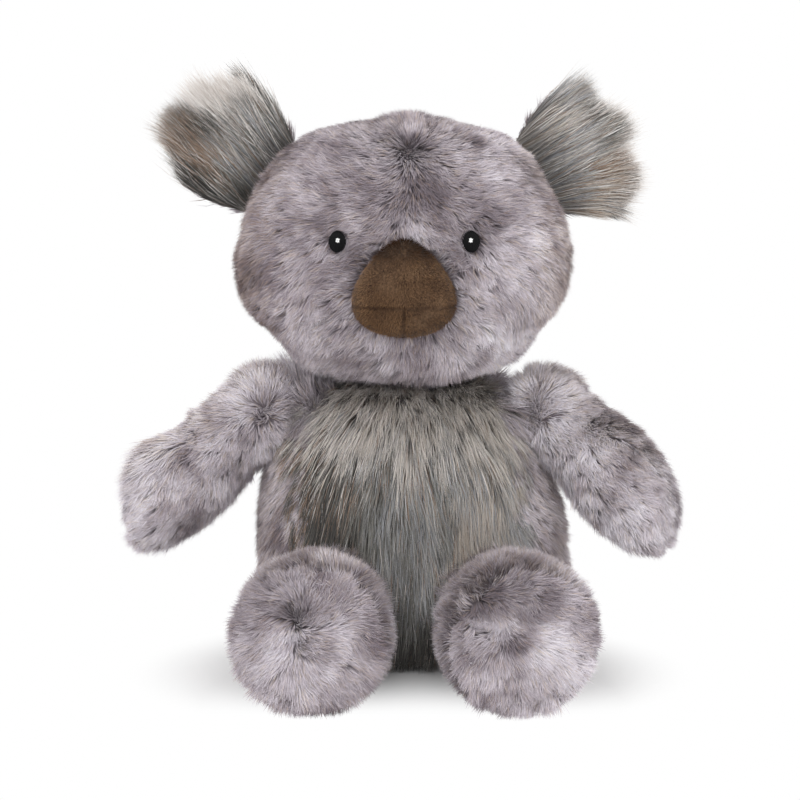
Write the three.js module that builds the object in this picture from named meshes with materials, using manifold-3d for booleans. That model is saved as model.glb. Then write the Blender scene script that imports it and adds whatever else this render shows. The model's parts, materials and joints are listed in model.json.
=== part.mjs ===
// A seated plush koala, built from its sewn pieces: pile skins, stuffing, ears, nose and eyes.
// Millimetres, +Z up. The face looks along -Y, and the origin is on the flat seat, below the neck.
// A skin's outer face is the tip of its pile, so its wall is the cloth and the pile together.

import * as THREE from 'three';
import { mergeVertices } from 'three/addons/utils/BufferGeometryUtils.js';
import Module from 'manifold-3d';

const wasm = await Module();
wasm.setup();

// Fits and fineness
const seamGap = 0.3; // between two pieces that are sewn or packed together
const seatGap = 0.3; // between the ball at a limb's root and the hollow it turns in
const flatCut = 0.5; // how deep the floor presses a round foot flat
const overrun = 6; // how far a cutting shape runs past what it cuts
const weld = 0.0001; // points closer than this are one point
const trunkSteps = 22; // points around the body and the head
const limbSteps = 14; // points around an arm or a leg
const ballRings = 4; // rings over the ball at a limb's root
const ballShare = 0.62; // how much of the half circle from pole to pole the ball keeps
const seatSteps = 16; // points around a ball seat
const seatRings = 8; // rings from pole to pole of a ball seat

// Body
const bodyHeight = 114.7;
const bodyHalfWidth = 64.5;
const bodyFront = 48.5; // from the neck's plane to the belly
const bodyBack = 42;
const bodyLean = 5; // how far the seat's middle lies to the right of the neck
const bodyWall = 9;
const bodySquare = 2.3; // exponent of the cross-section: 2 is an oval, more is squarer

// Height, half width, front and back of the body, from the seat to the neck
const bodyShares = [
  [0.035, 0.84, 0.81, 0.85],
  [0.105, 0.95, 0.93, 0.96],
  [0.21, 1.0, 0.99, 1.0],
  [0.35, 1.0, 1.0, 1.0],
  [0.49, 0.985, 0.99, 0.985],
  [0.63, 0.94, 0.95, 0.95],
  [0.77, 0.875, 0.87, 0.88],
  [0.865, 0.82, 0.76, 0.78],
  [0.925, 0.765, 0.63, 0.67],
  [0.96, 0.66, 0.47, 0.51],
  [0.98, 0.48, 0.27, 0.3],
];
const seatShares = [0, 0.66, 0.62, 0.66];

// Long-furred panel of the belly: places around its edge, as shares of half width and height
const bellyProud = 2.5; // how far the long fur stands out past the short pile
const bellyShares = [
  [0, 0.055],
  [0.26, 0.14],
  [0.56, 0.3],
  [0.78, 0.46],
  [0.77, 0.64],
  [0.68, 0.82],
  [0.52, 0.93],
  [0.26, 1.0],
];
const bellyEdgeSteps = 22;

// Pellet pouch in the seat
const pouchHalfWidth = 36;
const pouchHalfDepth = 22;
const pouchHeight = 20;
const pouchFlatShare = 0.15; // how much of its height the pouch is pressed flat below

// Neck
const neckBack = -4; // the neck's axis along Y
const neckRadius = 14;
const neckTailRadius = 9;
const neckTailLength = 26;

// Head
const headHeight = 104.5;
const headHalfWidth = 66.4;
const headFront = 54.5; // from the head's middle plane to the muzzle
const headBack = 54;
const headMiddle = -10; // the head's middle plane along Y
const headWall = 9;
const headSquare = 2.3;

// Height, half width, front and back of the head, from the chin's underside to the crown
const headShares = [
  [0.01, 0.42, 0.4, 0.4],
  [0.045, 0.59, 0.6, 0.58],
  [0.09, 0.71, 0.73, 0.71],
  [0.145, 0.81, 0.83, 0.81],
  [0.22, 0.9, 0.93, 0.9],
  [0.3, 0.965, 0.985, 0.96],
  [0.4, 1.0, 1.0, 0.99],
  [0.52, 0.995, 0.985, 1.0],
  [0.61, 0.965, 0.96, 0.985],
  [0.7, 0.885, 0.915, 0.945],
  [0.79, 0.79, 0.84, 0.88],
  [0.87, 0.705, 0.745, 0.79],
  [0.93, 0.62, 0.62, 0.66],
  [0.97, 0.44, 0.43, 0.46],
];

// Nose
const noseHalfWidth = 20;
const noseHalfHeight = 18.5;
const noseProud = 11; // how far it stands out of the muzzle
const noseBed = 7; // how deep it sits in the pile
const noseWall = 1.6;
const noseMouthRadius = 7; // hole in the back of the cover, where it was stuffed
const noseHeightShare = 0.385; // of the head's height
const noseTaperShare = 0.3; // how much narrower the top is than the bottom
const noseShares = [
  [-0.86, 0.55],
  [-0.45, 0.88],
  [0, 1],
  [0.4, 0.94],
  [0.72, 0.76],
  [0.93, 0.45],
];
const noseSteps = 16;

// Eyes
const eyeSpread = 24.8; // from the middle of the face
const eyeHeightShare = 0.55; // of the head's height
const eyeHalfWidth = 3.3;
const eyeHalfHeight = 4.4;
const eyeThickness = 3;
const eyeProud = 0.9;
const eyeShares = [
  [0, 0.8],
  [0.6, 1],
  [0.9, 0.84],
];
const eyeSteps = 12;
const highlightRadius = 0.85;
const highlightThickness = 0.5;
const highlightLift = 0.6; // above the middle of the eye

// Ears
const earLength = 47; // from the seam to the tips of the fur
const earRootRadius = 8;
const earHalfChord = 21.5; // half the length of the seam
const earTurn = 33; // degrees that the ear points above level
const earLean = { left: 8, right: 24 }; // degrees that the ear leans back
const earHeightShare = 0.745; // of the head's height
const earPlane = 5; // the ear's seam along Y
const earStandoff = 2.5; // of the seam's axis from the head
const earSquare = 2.6; // exponent of the cross-section, as the body's
const earRootSquare = 0.3; // exponent of the roll's ends: less is squarer
const earForward = 40; // degrees that it folds forwards
const earBackward = 30;

// Place along the ear, half chord and half thickness
const earShares = [
  [0.14, 1.08, 0.8],
  [0.32, 1.18, 0.95],
  [0.52, 1.18, 1.06],
  [0.72, 1.02, 0.96],
  [0.88, 0.72, 0.7],
  [0.97, 0.38, 0.36],
];
const earSteps = 14;

// Arms
const armLength = 72.5; // from the shoulder's ball to the tip
const armBallRadius = 20;
const armRadius = 21.5;
const armWall = 8;
const armDroop = { left: 36, right: 33 }; // degrees below level
const armSwing = { left: 12, right: 34 }; // degrees towards the front
const armMouthRadius = 9; // hole in the skin where it was stuffed
const shoulderDrop = 16.7; // from the top of the body down to the shoulder's ball
const shoulderBack = -6; // the shoulder's place along Y
const shoulderStandoff = 4.6; // of the ball's centre from the body's side
const armRaise = 50; // degrees
const armLower = 10;
const armBend = 5; // how far the paw curves down past a straight arm

// Place along the arm and radius
const armShares = [
  [0.16, 0.84],
  [0.24, 0.82],
  [0.32, 0.88],
  [0.44, 0.96],
  [0.57, 1.0],
  [0.7, 0.95],
  [0.81, 0.8],
  [0.91, 0.57],
  [0.975, 0.3],
];

// Legs
const legLength = 64; // from the hip's ball to the sole
const legBallRadius = 25;
const footRadius = 30.5;
const legWall = 8;
const soleRadius = 25;
const soleDome = 3; // how far the sole swells out
const legMouthRadius = 11;
const hipHeight = 28;
const hipSpread = 32;
const hipStandoff = 5; // of the ball's centre from the body's front
const legYaw = 7.5; // degrees that a foot turns outwards
const legRaise = 40; // degrees
const legLower = 15;

// Place along the leg and radius
const legShares = [
  [0.2, 0.74],
  [0.36, 0.8],
  [0.55, 0.91],
  [0.74, 0.99],
  [0.88, 1.0],
  [0.97, 0.93],
];

// Radius and swelling of the sole, from its edge to its middle
const soleShares = [
  [1, -0.5],
  [0.86, 0.25],
  [0.5, 0.8],
  [0, 1],
];

const pileMauve = new THREE.MeshStandardMaterial({ color: 0xa39aa1, roughness: 0.95, metalness: 0 });
const pileGreen = new THREE.MeshStandardMaterial({ color: 0x75736f, roughness: 0.9, metalness: 0 });
const velourBrown = new THREE.MeshStandardMaterial({ color: 0x5f4a38, roughness: 0.85, metalness: 0 });
const threadBlack = new THREE.MeshStandardMaterial({ color: 0x141416, roughness: 0.5, metalness: 0 });
const threadWhite = new THREE.MeshStandardMaterial({ color: 0xeeeeec, roughness: 0.6, metalness: 0 });
const stuffingWhite = new THREE.MeshStandardMaterial({ color: 0xe9e7e1, roughness: 1, metalness: 0 });
const pouchCotton = new THREE.MeshStandardMaterial({ color: 0xd8cfbe, roughness: 0.9, metalness: 0 });

const rad = THREE.MathUtils.degToRad;

// Geometry to solid and back

function solidOf(geometry) {
  const bare = geometry.clone();
  bare.deleteAttribute('normal');
  bare.deleteAttribute('uv');
  const merged = mergeVertices(bare, weld);
  const kept = [];
  const index = merged.index.array;
  for (let i = 0; i < index.length; i += 3) {
    const [a, b, c] = [index[i], index[i + 1], index[i + 2]];
    if (a !== b && b !== c && c !== a) {
      kept.push(a, b, c);
    }
  }
  const vertProperties = new Float32Array(merged.attributes.position.array);
  return new wasm.Manifold(new wasm.Mesh({ numProp: 3, vertProperties, triVerts: new Uint32Array(kept) }));
}

function geometryOf(solid) {
  const mesh = solid.getMesh();
  const geometry = new THREE.BufferGeometry();
  geometry.setAttribute('position', new THREE.BufferAttribute(mesh.vertProperties, mesh.numProp));
  geometry.setIndex(new THREE.BufferAttribute(mesh.triVerts, 1));
  geometry.computeVertexNormals();
  return geometry;
}

function moved(geometry, matrix) {
  return geometry.clone().applyMatrix4(matrix);
}

function cut(solid, ...tools) {
  return tools.reduce((left, tool) => left.subtract(tool), solid);
}

function part(name, solid, material) {
  const mesh = new THREE.Mesh(geometryOf(solid), material);
  mesh.name = name;
  return mesh;
}

// A closed skin over rings of points, from a first point through every ring to a last point.
// Each ring turns anticlockwise, seen from the last point.
function loft(first, rings, last) {
  const count = rings[0].length;
  const points = [first, ...rings.flat(), last];
  const end = points.length - 1;
  const at = (ring, step) => 1 + ring * count + (step % count);
  const index = [];
  for (let step = 0; step < count; step += 1) {
    index.push(0, at(0, step + 1), at(0, step));
    for (let ring = 0; ring < rings.length - 1; ring += 1) {
      index.push(at(ring, step), at(ring, step + 1), at(ring + 1, step + 1));
      index.push(at(ring, step), at(ring + 1, step + 1), at(ring + 1, step));
    }
    index.push(end, at(rings.length - 1, step), at(rings.length - 1, step + 1));
  }
  const geometry = new THREE.BufferGeometry().setFromPoints(points);
  geometry.setIndex(index);
  return geometry;
}

// One ring of a squared oval: its half width is along X, and front and back are towards -Y and +Y.
function squaredRing(centre, halfWidth, front, back, square, steps) {
  const ring = [];
  for (let step = 0; step < steps; step += 1) {
    const angle = (2 * Math.PI * step) / steps;
    const across = Math.sign(Math.cos(angle)) * Math.abs(Math.cos(angle)) ** (2 / square);
    const along = Math.sign(Math.sin(angle)) * Math.abs(Math.sin(angle)) ** (2 / square);
    const depth = along < 0 ? front : back;
    ring.push(new THREE.Vector3(centre.x + halfWidth * across, centre.y + depth * along, centre.z));
  }
  return ring;
}

// Every other row of a table of shares, for the inside of a wall.
function coarse(shares) {
  return shares.filter((row, place) => place % 2 === 0);
}

// The value in column `column` of a table of shares, at a share of the height.
function shareAt(shares, height, column) {
  const above = Math.max(1, shares.findIndex((row) => row[0] >= height));
  const [low, high] = [shares[above - 1], shares[above]];
  const blend = (height - low[0]) / (high[0] - low[0]);
  return THREE.MathUtils.lerp(low[column], high[column], blend);
}

// The body's outline grown by `grow`, which is negative for the inside of its wall, with `proud`
// more at the belly alone.
function bodyForm(grow, proud = 0) {
  const height = bodyHeight + 2 * grow;
  const rows = [seatShares, ...(grow < 0 ? coarse(bodyShares) : bodyShares)];
  const rings = rows.map(([up, wide, front, back]) => {
    const centre = new THREE.Vector3(bodyLean * (1 - up), 0, up * height - grow);
    return squaredRing(centre, wide * (bodyHalfWidth + grow), front * (bodyFront + grow + proud),
      back * (bodyBack + grow), bodySquare, trunkSteps);
  });
  const base = new THREE.Vector3(bodyLean, 0, -grow);
  return loft(base, rings, new THREE.Vector3(0, 0, height - grow));
}

// The head's outline grown by `grow`, in the head's own frame: its neck is the origin.
function headForm(grow) {
  const height = headHeight + 2 * grow;
  const middle = headMiddle - neckBack;
  const rows = grow < 0 ? coarse(headShares) : headShares;
  const rings = rows.map(([up, wide, front, back]) => {
    const centre = new THREE.Vector3(0, middle, up * height - grow);
    return squaredRing(centre, wide * (headHalfWidth + grow), front * (headFront + grow),
      back * (headBack + grow), headSquare, trunkSteps);
  });
  const chin = new THREE.Vector3(0, middle, -grow);
  return loft(chin, rings, new THREE.Vector3(0, middle, height - grow));
}

// Where the face lies, in the head's frame, at a place across and a share of the height.
function facePoint(across, up) {
  const wide = shareAt(headShares, up, 1) * headHalfWidth;
  const deep = shareAt(headShares, up, 2) * headFront;
  const along = (1 - Math.abs(across / wide) ** headSquare) ** (1 / headSquare);
  return new THREE.Vector3(across, headMiddle - neckBack - deep * along, up * headHeight);
}

// The ball at a limb's root as rows of place and radius, from its pole to where the limb leaves it.
function ballRows(radius) {
  const rows = [];
  for (let ring = 1; ring <= ballRings; ring += 1) {
    const angle = (Math.PI * ballShare * ring) / ballRings;
    rows.push([-radius * Math.cos(angle), radius * Math.sin(angle)]);
  }
  return rows;
}

// The ball alone, closed by a flat where the limb leaves it.
function ballForm(radius) {
  const rings = ballRows(radius).map(([z, r]) => {
    return squaredRing(new THREE.Vector3(0, 0, z), r, r, r, 2, limbSteps);
  });
  const end = -radius * Math.cos(Math.PI * ballShare);
  return solidOf(loft(new THREE.Vector3(0, 0, -radius), rings, new THREE.Vector3(0, 0, end)));
}

// A ball at a limb's root, then the limb's own profile, spun about +Z and bent towards -Y.
function limbForm(length, ballRadius, radius, shares, bend, grow) {
  const rows = ballRows(ballRadius + grow);
  for (const [along, around] of grow < 0 ? coarse(shares) : shares) {
    rows.push([along * (length + grow), around * (radius + grow)]);
  }
  const start = -ballRadius * Math.cos(Math.PI * ballShare);
  const sag = (z) => -bend * (Math.max(z - start, 0) / (length - start)) ** 2;
  const rings = rows.map(([z, r]) => {
    const centre = new THREE.Vector3(0, sag(z), z);
    return squaredRing(centre, r, r, r, 2, limbSteps);
  });
  const root = new THREE.Vector3(0, 0, -ballRadius - grow);
  return loft(root, rings, new THREE.Vector3(0, sag(length), length + grow));
}

// A ball seat: a sphere whose flats lie outside a ball of this radius.
function seatForm(radius) {
  const flats = Math.cos(Math.PI / seatSteps) * Math.cos(Math.PI / (2 * seatRings));
  return new THREE.SphereGeometry((radius + seatGap) / flats, seatSteps, seatRings);
}

// Past its root, a limb gives way to its neighbour at every angle that is listed.
// The neighbour is given in the limb's frame at rest, and the axis is the limb's own.
function clearedLimb(limb, root, neighbour, axis, angles) {
  const turned = angles.map((angle) => {
    const matrix = new THREE.Matrix4().makeRotationAxis(axis, rad(-angle));
    return solidOf(moved(neighbour, matrix));
  });
  return cut(limb, ...turned).add(root);
}

// Where each joint stands

const neckPlace = new THREE.Vector3(0, neckBack, bodyHeight + seamGap);
const up = new THREE.Vector3(0, 0, 1);

function shoulderPlace(side) {
  const height = bodyHeight - shoulderDrop;
  const share = height / bodyHeight;
  const wide = shareAt(bodyShares, share, 1) * bodyHalfWidth + shoulderStandoff;
  return new THREE.Vector3(bodyLean * (1 - share) + side * wide, shoulderBack, height);
}

function hipPlace(side) {
  const share = hipHeight / bodyHeight;
  const deep = shareAt(bodyShares, share, 2) * bodyFront;
  const reach = (1 - (hipSpread / bodyHalfWidth) ** bodySquare) ** (1 / bodySquare);
  const across = bodyLean * (1 - share) + side * hipSpread;
  return new THREE.Vector3(across, -deep * reach - hipStandoff, hipHeight);
}

// Turns a group so that its own +Z runs along a direction and its +Y stays as near up as it can.
function aim(group, direction) {
  const z = direction.clone().normalize();
  const x = new THREE.Vector3().crossVectors(up, z).normalize();
  const y = new THREE.Vector3().crossVectors(z, x);
  group.quaternion.setFromRotationMatrix(new THREE.Matrix4().makeBasis(x, y, z));
}

function armFrame(side, label) {
  const group = new THREE.Group();
  const [droop, swing] = [rad(armDroop[label]), rad(armSwing[label])];
  group.position.copy(shoulderPlace(side));
  aim(group, new THREE.Vector3(side * Math.cos(droop) * Math.cos(swing),
    -Math.cos(droop) * Math.sin(swing), -Math.sin(droop)));
  group.updateMatrixWorld();
  return group;
}

function legFrame(side) {
  const group = new THREE.Group();
  const hip = hipPlace(side);
  const rise = footRadius - flatCut - hipHeight;
  group.position.copy(hip);
  const level = Math.sqrt(legLength ** 2 - rise ** 2);
  aim(group, new THREE.Vector3(side * level * Math.sin(rad(legYaw)), -level * Math.cos(rad(legYaw)), rise));
  group.updateMatrixWorld();
  return group;
}

// The ear's frame, inside the head's: +Z runs out along the ear and +X down along its seam, so that
// +Y faces forwards on the left ear and backwards on the right one.
function earFrame(side, label) {
  const group = new THREE.Group();
  const wide = shareAt(headShares, earHeightShare, 1) * headHalfWidth;
  const offPlane = earPlane - headMiddle;
  const deep = shareAt(headShares, earHeightShare, 3) * headBack;
  const reach = wide * (1 - (offPlane / deep) ** headSquare) ** (1 / headSquare);
  const turn = rad(earTurn);
  const out = new THREE.Vector3(side * Math.cos(turn), 0, Math.sin(turn));
  group.position.set(side * reach, earPlane - neckBack, earHeightShare * headHeight);
  group.position.addScaledVector(out, earStandoff);
  out.applyAxisAngle(new THREE.Vector3(Math.sin(turn), 0, -side * Math.cos(turn)), -rad(earLean[label]));
  const z = out.normalize();
  const x = new THREE.Vector3(side * Math.sin(turn), 0, -Math.cos(turn));
  const y = new THREE.Vector3().crossVectors(z, x);
  group.quaternion.setFromRotationMatrix(new THREE.Matrix4().makeBasis(x, y, z));
  group.updateMatrixWorld();
  return group;
}

// Body

// The belly panel's edge, grown by `grow`, carried through the front of the body.
function bellyPrism(grow) {
  const places = bellyShares.map(([across, height]) => [across * bodyHalfWidth, height * bodyHeight]);
  const mirrored = places.slice(1).reverse().map(([x, z]) => [-x, z]);
  const middle = new THREE.Vector2(0, bodyHeight / 2);
  const points = [...places, ...mirrored].map(([x, z]) => {
    const point = new THREE.Vector2(x, z);
    const outward = point.clone().sub(middle).normalize();
    return point.addScaledVector(outward, grow);
  });
  const shape = new THREE.Shape(new THREE.SplineCurve([...points, points[0]]).getPoints(bellyEdgeSteps));
  const depth = bodyFront + bellyProud + overrun;
  const geometry = new THREE.ExtrudeGeometry(shape, { depth, bevelEnabled: false, steps: 1 });
  geometry.rotateX(Math.PI / 2);
  geometry.translate(bodyLean / 2, 0, 0);
  return solidOf(geometry);
}

function pouchForm(grow) {
  const geometry = new THREE.SphereGeometry(1, limbSteps, seatRings);
  geometry.scale(pouchHalfWidth + grow, pouchHalfDepth + grow, pouchHeight / 2 + grow);
  geometry.translate(bodyLean, 0, bodyWall + seamGap + pouchHeight / 2 - pouchFlatShare * pouchHeight);
  return solidOf(geometry);
}

// The pouch lies flat on the inside of the seat's skin.
function pouchSolid() {
  const reach = 2 * (pouchHalfWidth + overrun);
  const below = new THREE.BoxGeometry(reach, reach, reach);
  below.translate(bodyLean, 0, bodyWall + seamGap - reach / 2);
  return cut(pouchForm(0), solidOf(below));
}

// The neck's core: a ball in the neck's opening with a tail down into the body's stuffing.
function neckForm(grow) {
  const radius = neckRadius + grow;
  const tail = neckTailRadius + grow;
  const end = -neckTailLength - grow;
  const points = [new THREE.Vector2(0, end), new THREE.Vector2(tail, end)];
  const start = Math.asin(tail / radius);
  for (let ring = 0; ring < seatRings; ring += 1) {
    const angle = start + ((Math.PI - start) * ring) / seatRings;
    points.push(new THREE.Vector2(radius * Math.sin(angle), -radius * Math.cos(angle)));
  }
  points.push(new THREE.Vector2(0, radius));
  return new THREE.LatheGeometry(points, seatSteps).rotateX(Math.PI / 2);
}

function makeBody() {
  const group = new THREE.Group();
  const toNeck = new THREE.Matrix4().setPosition(neckPlace);
  const hollows = [solidOf(moved(neckForm(2 * seatGap), toNeck))];
  for (const side of [-1, 1]) {
    const shoulder = new THREE.Matrix4().setPosition(shoulderPlace(side));
    const hip = new THREE.Matrix4().setPosition(hipPlace(side));
    hollows.push(solidOf(moved(seatForm(armBallRadius), shoulder)));
    hollows.push(solidOf(moved(seatForm(legBallRadius), hip)));
  }
  const outer = solidOf(bodyForm(0));
  const inner = solidOf(bodyForm(-bodyWall));
  const skin = cut(outer, inner, bellyPrism(seamGap), ...hollows);
  const belly = cut(solidOf(bodyForm(0, bellyProud)).intersect(bellyPrism(0)), inner, ...hollows);
  const stuffing = cut(solidOf(bodyForm(-bodyWall - seamGap)), pouchForm(seamGap), ...hollows);
  group.add(part('body_back_panel', skin, pileMauve));
  group.add(part('belly_panel', belly, pileGreen));
  group.add(part('body_stuffing', stuffing, stuffingWhite));
  group.add(part('pellet_pouch', pouchSolid(), pouchCotton));
  return group;
}

// Head

function noseForm(grow) {
  const rings = noseShares.map(([out, size]) => {
    const ring = [];
    const depth = out < 0 ? noseBed + grow : noseProud + grow;
    for (let step = 0; step < noseSteps; step += 1) {
      const angle = (2 * Math.PI * step) / noseSteps;
      const across = (noseHalfWidth + grow) * Math.cos(angle) * (1 - noseTaperShare * Math.sin(angle));
      const height = (noseHalfHeight + grow) * Math.sin(angle);
      ring.push(new THREE.Vector3(size * across, size * height, out * depth));
    }
    return ring;
  });
  return loft(new THREE.Vector3(0, 0, -noseBed - grow), rings, new THREE.Vector3(0, 0, noseProud + grow));
}

function eyeForm(grow) {
  const rings = eyeShares.map(([out, size]) => {
    const centre = new THREE.Vector3(0, 0, out * (eyeThickness + grow) - grow * (1 - out));
    const [wide, high] = [size * (eyeHalfWidth + grow), size * (eyeHalfHeight + grow)];
    return squaredRing(centre, wide, high, high, 2, eyeSteps);
  });
  return loft(new THREE.Vector3(0, 0, -grow), rings, new THREE.Vector3(0, 0, eyeThickness + grow));
}

// A frame on the face whose +Z points out of it and whose +Y is up, sunk so that a piece stands proud.
function faceFrame(across, height, proud, thickness) {
  const group = new THREE.Group();
  const place = facePoint(across, height);
  const step = eyeHalfHeight / headHeight;
  const aside = facePoint(across + eyeHalfWidth, height).sub(facePoint(across - eyeHalfWidth, height));
  const above = facePoint(across, height + step).sub(facePoint(across, height - step));
  const out = new THREE.Vector3().crossVectors(aside, above).normalize();
  group.position.copy(place).addScaledVector(out, proud - thickness);
  aim(group, out);
  group.updateMatrixWorld();
  return group;
}

function makeNose() {
  const group = new THREE.Group();
  group.position.copy(facePoint(0, noseHeightShare));
  group.rotation.x = Math.PI / 2;
  const mouth = new THREE.CylinderGeometry(noseMouthRadius, noseMouthRadius, noseBed, noseSteps);
  mouth.rotateX(Math.PI / 2).translate(0, 0, -noseBed);
  const cover = cut(solidOf(noseForm(0)), solidOf(noseForm(-noseWall)), solidOf(mouth));
  group.add(part('nose_cover', cover, velourBrown));
  group.add(part('nose_stuffing', solidOf(noseForm(-noseWall - seamGap)), stuffingWhite));
  group.updateMatrixWorld();
  return group;
}

function makeEye(side, label) {
  const group = faceFrame(side * eyeSpread, eyeHeightShare, eyeProud, eyeThickness);
  const [radius, thickness] = [highlightRadius, highlightThickness];
  const highlight = new THREE.CylinderGeometry(radius, radius, thickness, eyeSteps);
  highlight.rotateX(Math.PI / 2);
  highlight.translate(-side * highlightLift, highlightLift, eyeThickness + seamGap + thickness / 2);
  group.add(part(`${label}_eye`, solidOf(eyeForm(0)), threadBlack));
  group.add(part(`${label}_eye_highlight`, solidOf(highlight), threadWhite));
  return group;
}

function earForm() {
  const rows = [];
  for (let ring = 1; ring < ballRings; ring += 1) {
    const angle = (Math.PI * ring) / (2 * ballRings);
    const chord = earHalfChord * Math.sin(angle) ** earRootSquare;
    rows.push([-earRootRadius * Math.cos(angle), chord, earRootRadius * Math.sin(angle)]);
  }
  for (const [along, chord, thick] of earShares) {
    rows.push([along * earLength, chord * earHalfChord, thick * earRootRadius]);
  }
  const rings = rows.map(([z, chord, thick]) => {
    return squaredRing(new THREE.Vector3(0, 0, z), chord, thick, thick, earSquare, earSteps);
  });
  return loft(new THREE.Vector3(0, 0, -earRootRadius), rings, new THREE.Vector3(0, 0, earLength));
}

// The roll at the ear's root, which turns in a groove of the head.
function earRoll(radius, halfLength) {
  const flats = Math.cos(Math.PI / seatSteps);
  return new THREE.CylinderGeometry(radius / flats, radius / flats, 2 * halfLength, seatSteps)
    .rotateZ(Math.PI / 2);
}

function makeEar(side, label) {
  const group = earFrame(side, label);
  const inverse = group.matrixWorld.clone().invert();
  const head = moved(headForm(seatGap), inverse);
  const seam = new THREE.Vector3(1, 0, 0);
  const roll = solidOf(earRoll(earRootRadius, earHalfChord + overrun));
  const form = solidOf(earForm());
  const turns = [-earForward, 0, earBackward].map((angle) => -side * angle);
  const ear = clearedLimb(form, form.intersect(roll), head, seam, turns);
  const reach = earLength + earRootRadius + overrun;
  const half = new THREE.BoxGeometry(2 * reach, 2 * reach, 2 * reach);
  const front = solidOf(half.clone().translate(0, -side * (reach + seamGap / 2), 0));
  const back = solidOf(half.clone().translate(0, side * (reach + seamGap / 2), 0));
  group.add(part(`${label}_ear_front`, ear.intersect(front), pileGreen));
  group.add(part(`${label}_ear_back`, ear.intersect(back), pileMauve));
  return group;
}

function makeHead() {
  const group = new THREE.Group();
  group.position.copy(neckPlace);
  const nose = makeNose();
  const hollows = [solidOf(neckForm(2 * seatGap))];
  hollows.push(solidOf(moved(noseForm(seamGap), nose.matrixWorld)));
  group.add(nose);
  for (const [side, label] of [[-1, 'left'], [1, 'right']]) {
    const eye = makeEye(side, label);
    const ear = makeEar(side, label);
    hollows.push(solidOf(moved(eyeForm(seamGap), eye.matrixWorld)));
    hollows.push(solidOf(moved(earRoll(earRootRadius + seatGap, earHalfChord + seatGap), ear.matrixWorld)));
    group.add(eye, ear);
  }
  const reach = 2 * (headHeight + headHalfWidth);
  const half = new THREE.BoxGeometry(reach, reach, reach);
  const seamPlane = earPlane - neckBack;
  const front = solidOf(half.clone().translate(0, seamPlane - (reach + seamGap) / 2, 0));
  const back = solidOf(half.clone().translate(0, seamPlane + (reach + seamGap) / 2, 0));
  const skin = cut(solidOf(headForm(0)), solidOf(headForm(-headWall)), ...hollows);
  const stuffing = cut(solidOf(headForm(-headWall - seamGap)), ...hollows);
  group.add(part('face_panel', skin.intersect(front), pileMauve));
  group.add(part('head_back_panel', skin.intersect(back), pileMauve));
  group.add(part('head_stuffing', stuffing, stuffingWhite));
  return group;
}

function makeNeck() {
  const group = new THREE.Group();
  group.position.copy(neckPlace);
  group.add(part('neck_core', solidOf(neckForm(0)), stuffingWhite));
  return group;
}

// Limbs

// A round hole in a limb's skin at the root, through which it was stuffed.
function mouthForm(ballRadius, mouthRadius) {
  return new THREE.CylinderGeometry(mouthRadius, mouthRadius, ballRadius, limbSteps)
    .rotateX(Math.PI / 2)
    .translate(0, 0, -ballRadius);
}

function makeArm(side, label) {
  const group = armFrame(side, label);
  const inverse = group.matrixWorld.clone().invert();
  const axis = new THREE.Vector3(0, -side, 0).transformDirection(inverse);
  const form = (grow) => solidOf(limbForm(armLength, armBallRadius, armRadius, armShares, armBend, grow));
  const body = moved(bodyForm(seatGap, bellyProud), inverse);
  const outer = clearedLimb(form(0), ballForm(armBallRadius), body, axis, [-armLower, 0]);
  const skin = cut(outer, form(-armWall), solidOf(mouthForm(armBallRadius, armMouthRadius)));
  const stuffing = form(-armWall - seamGap);
  group.add(part(`${label}_arm_skin`, skin, pileMauve));
  group.add(part(`${label}_arm_stuffing`, stuffing, stuffingWhite));
  return group;
}

// The sole: a disc across the end of the leg whose outer face swells.
function soleForm(grow) {
  const radius = soleRadius + grow;
  const inner = legLength - legWall + seamGap - grow;
  const points = [new THREE.Vector2(0, inner), new THREE.Vector2(radius, inner)];
  for (const [around, out] of soleShares) {
    points.push(new THREE.Vector2(around * radius, legLength + out * soleDome));
  }
  return new THREE.LatheGeometry(points, limbSteps).rotateX(Math.PI / 2);
}

function makeLeg(side, label) {
  const group = legFrame(side);
  const inverse = group.matrixWorld.clone().invert();
  const axis = new THREE.Vector3(-1, 0, 0).transformDirection(inverse);
  const form = (grow) => solidOf(limbForm(legLength, legBallRadius, footRadius, legShares, 0, grow));
  const body = moved(bodyForm(seatGap, bellyProud), inverse);
  const outer = clearedLimb(form(0), ballForm(legBallRadius), body, axis, [-legLower, 0, legRaise]);
  const reach = 2 * (legLength + footRadius);
  const floor = new THREE.BoxGeometry(reach, reach, reach);
  floor.translate(group.position.x, group.position.y, -reach / 2);
  const mouth = solidOf(mouthForm(legBallRadius, legMouthRadius));
  const hollows = [form(-legWall), mouth, solidOf(soleForm(seamGap)), solidOf(moved(floor, inverse))];
  const skin = cut(outer, ...hollows);
  group.add(part(`${label}_leg_skin`, skin, pileMauve));
  group.add(part(`${label}_foot_sole`, solidOf(soleForm(0)), pileMauve));
  group.add(part(`${label}_leg_stuffing`, form(-legWall - seamGap), stuffingWhite));
  return group;
}

const koala = new THREE.Group();
koala.add(makeBody(), makeNeck(), makeHead());
for (const [side, label] of [[-1, 'left'], [1, 'right']]) {
  koala.add(makeArm(side, label), makeLeg(side, label));
}

export default koala;
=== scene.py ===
# A seated plush koala: short mauve pile and long grey fur over its sewn, stuffed forms.
# Metres, +Z up. The face looks along -Y.
import json
import math

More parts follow.
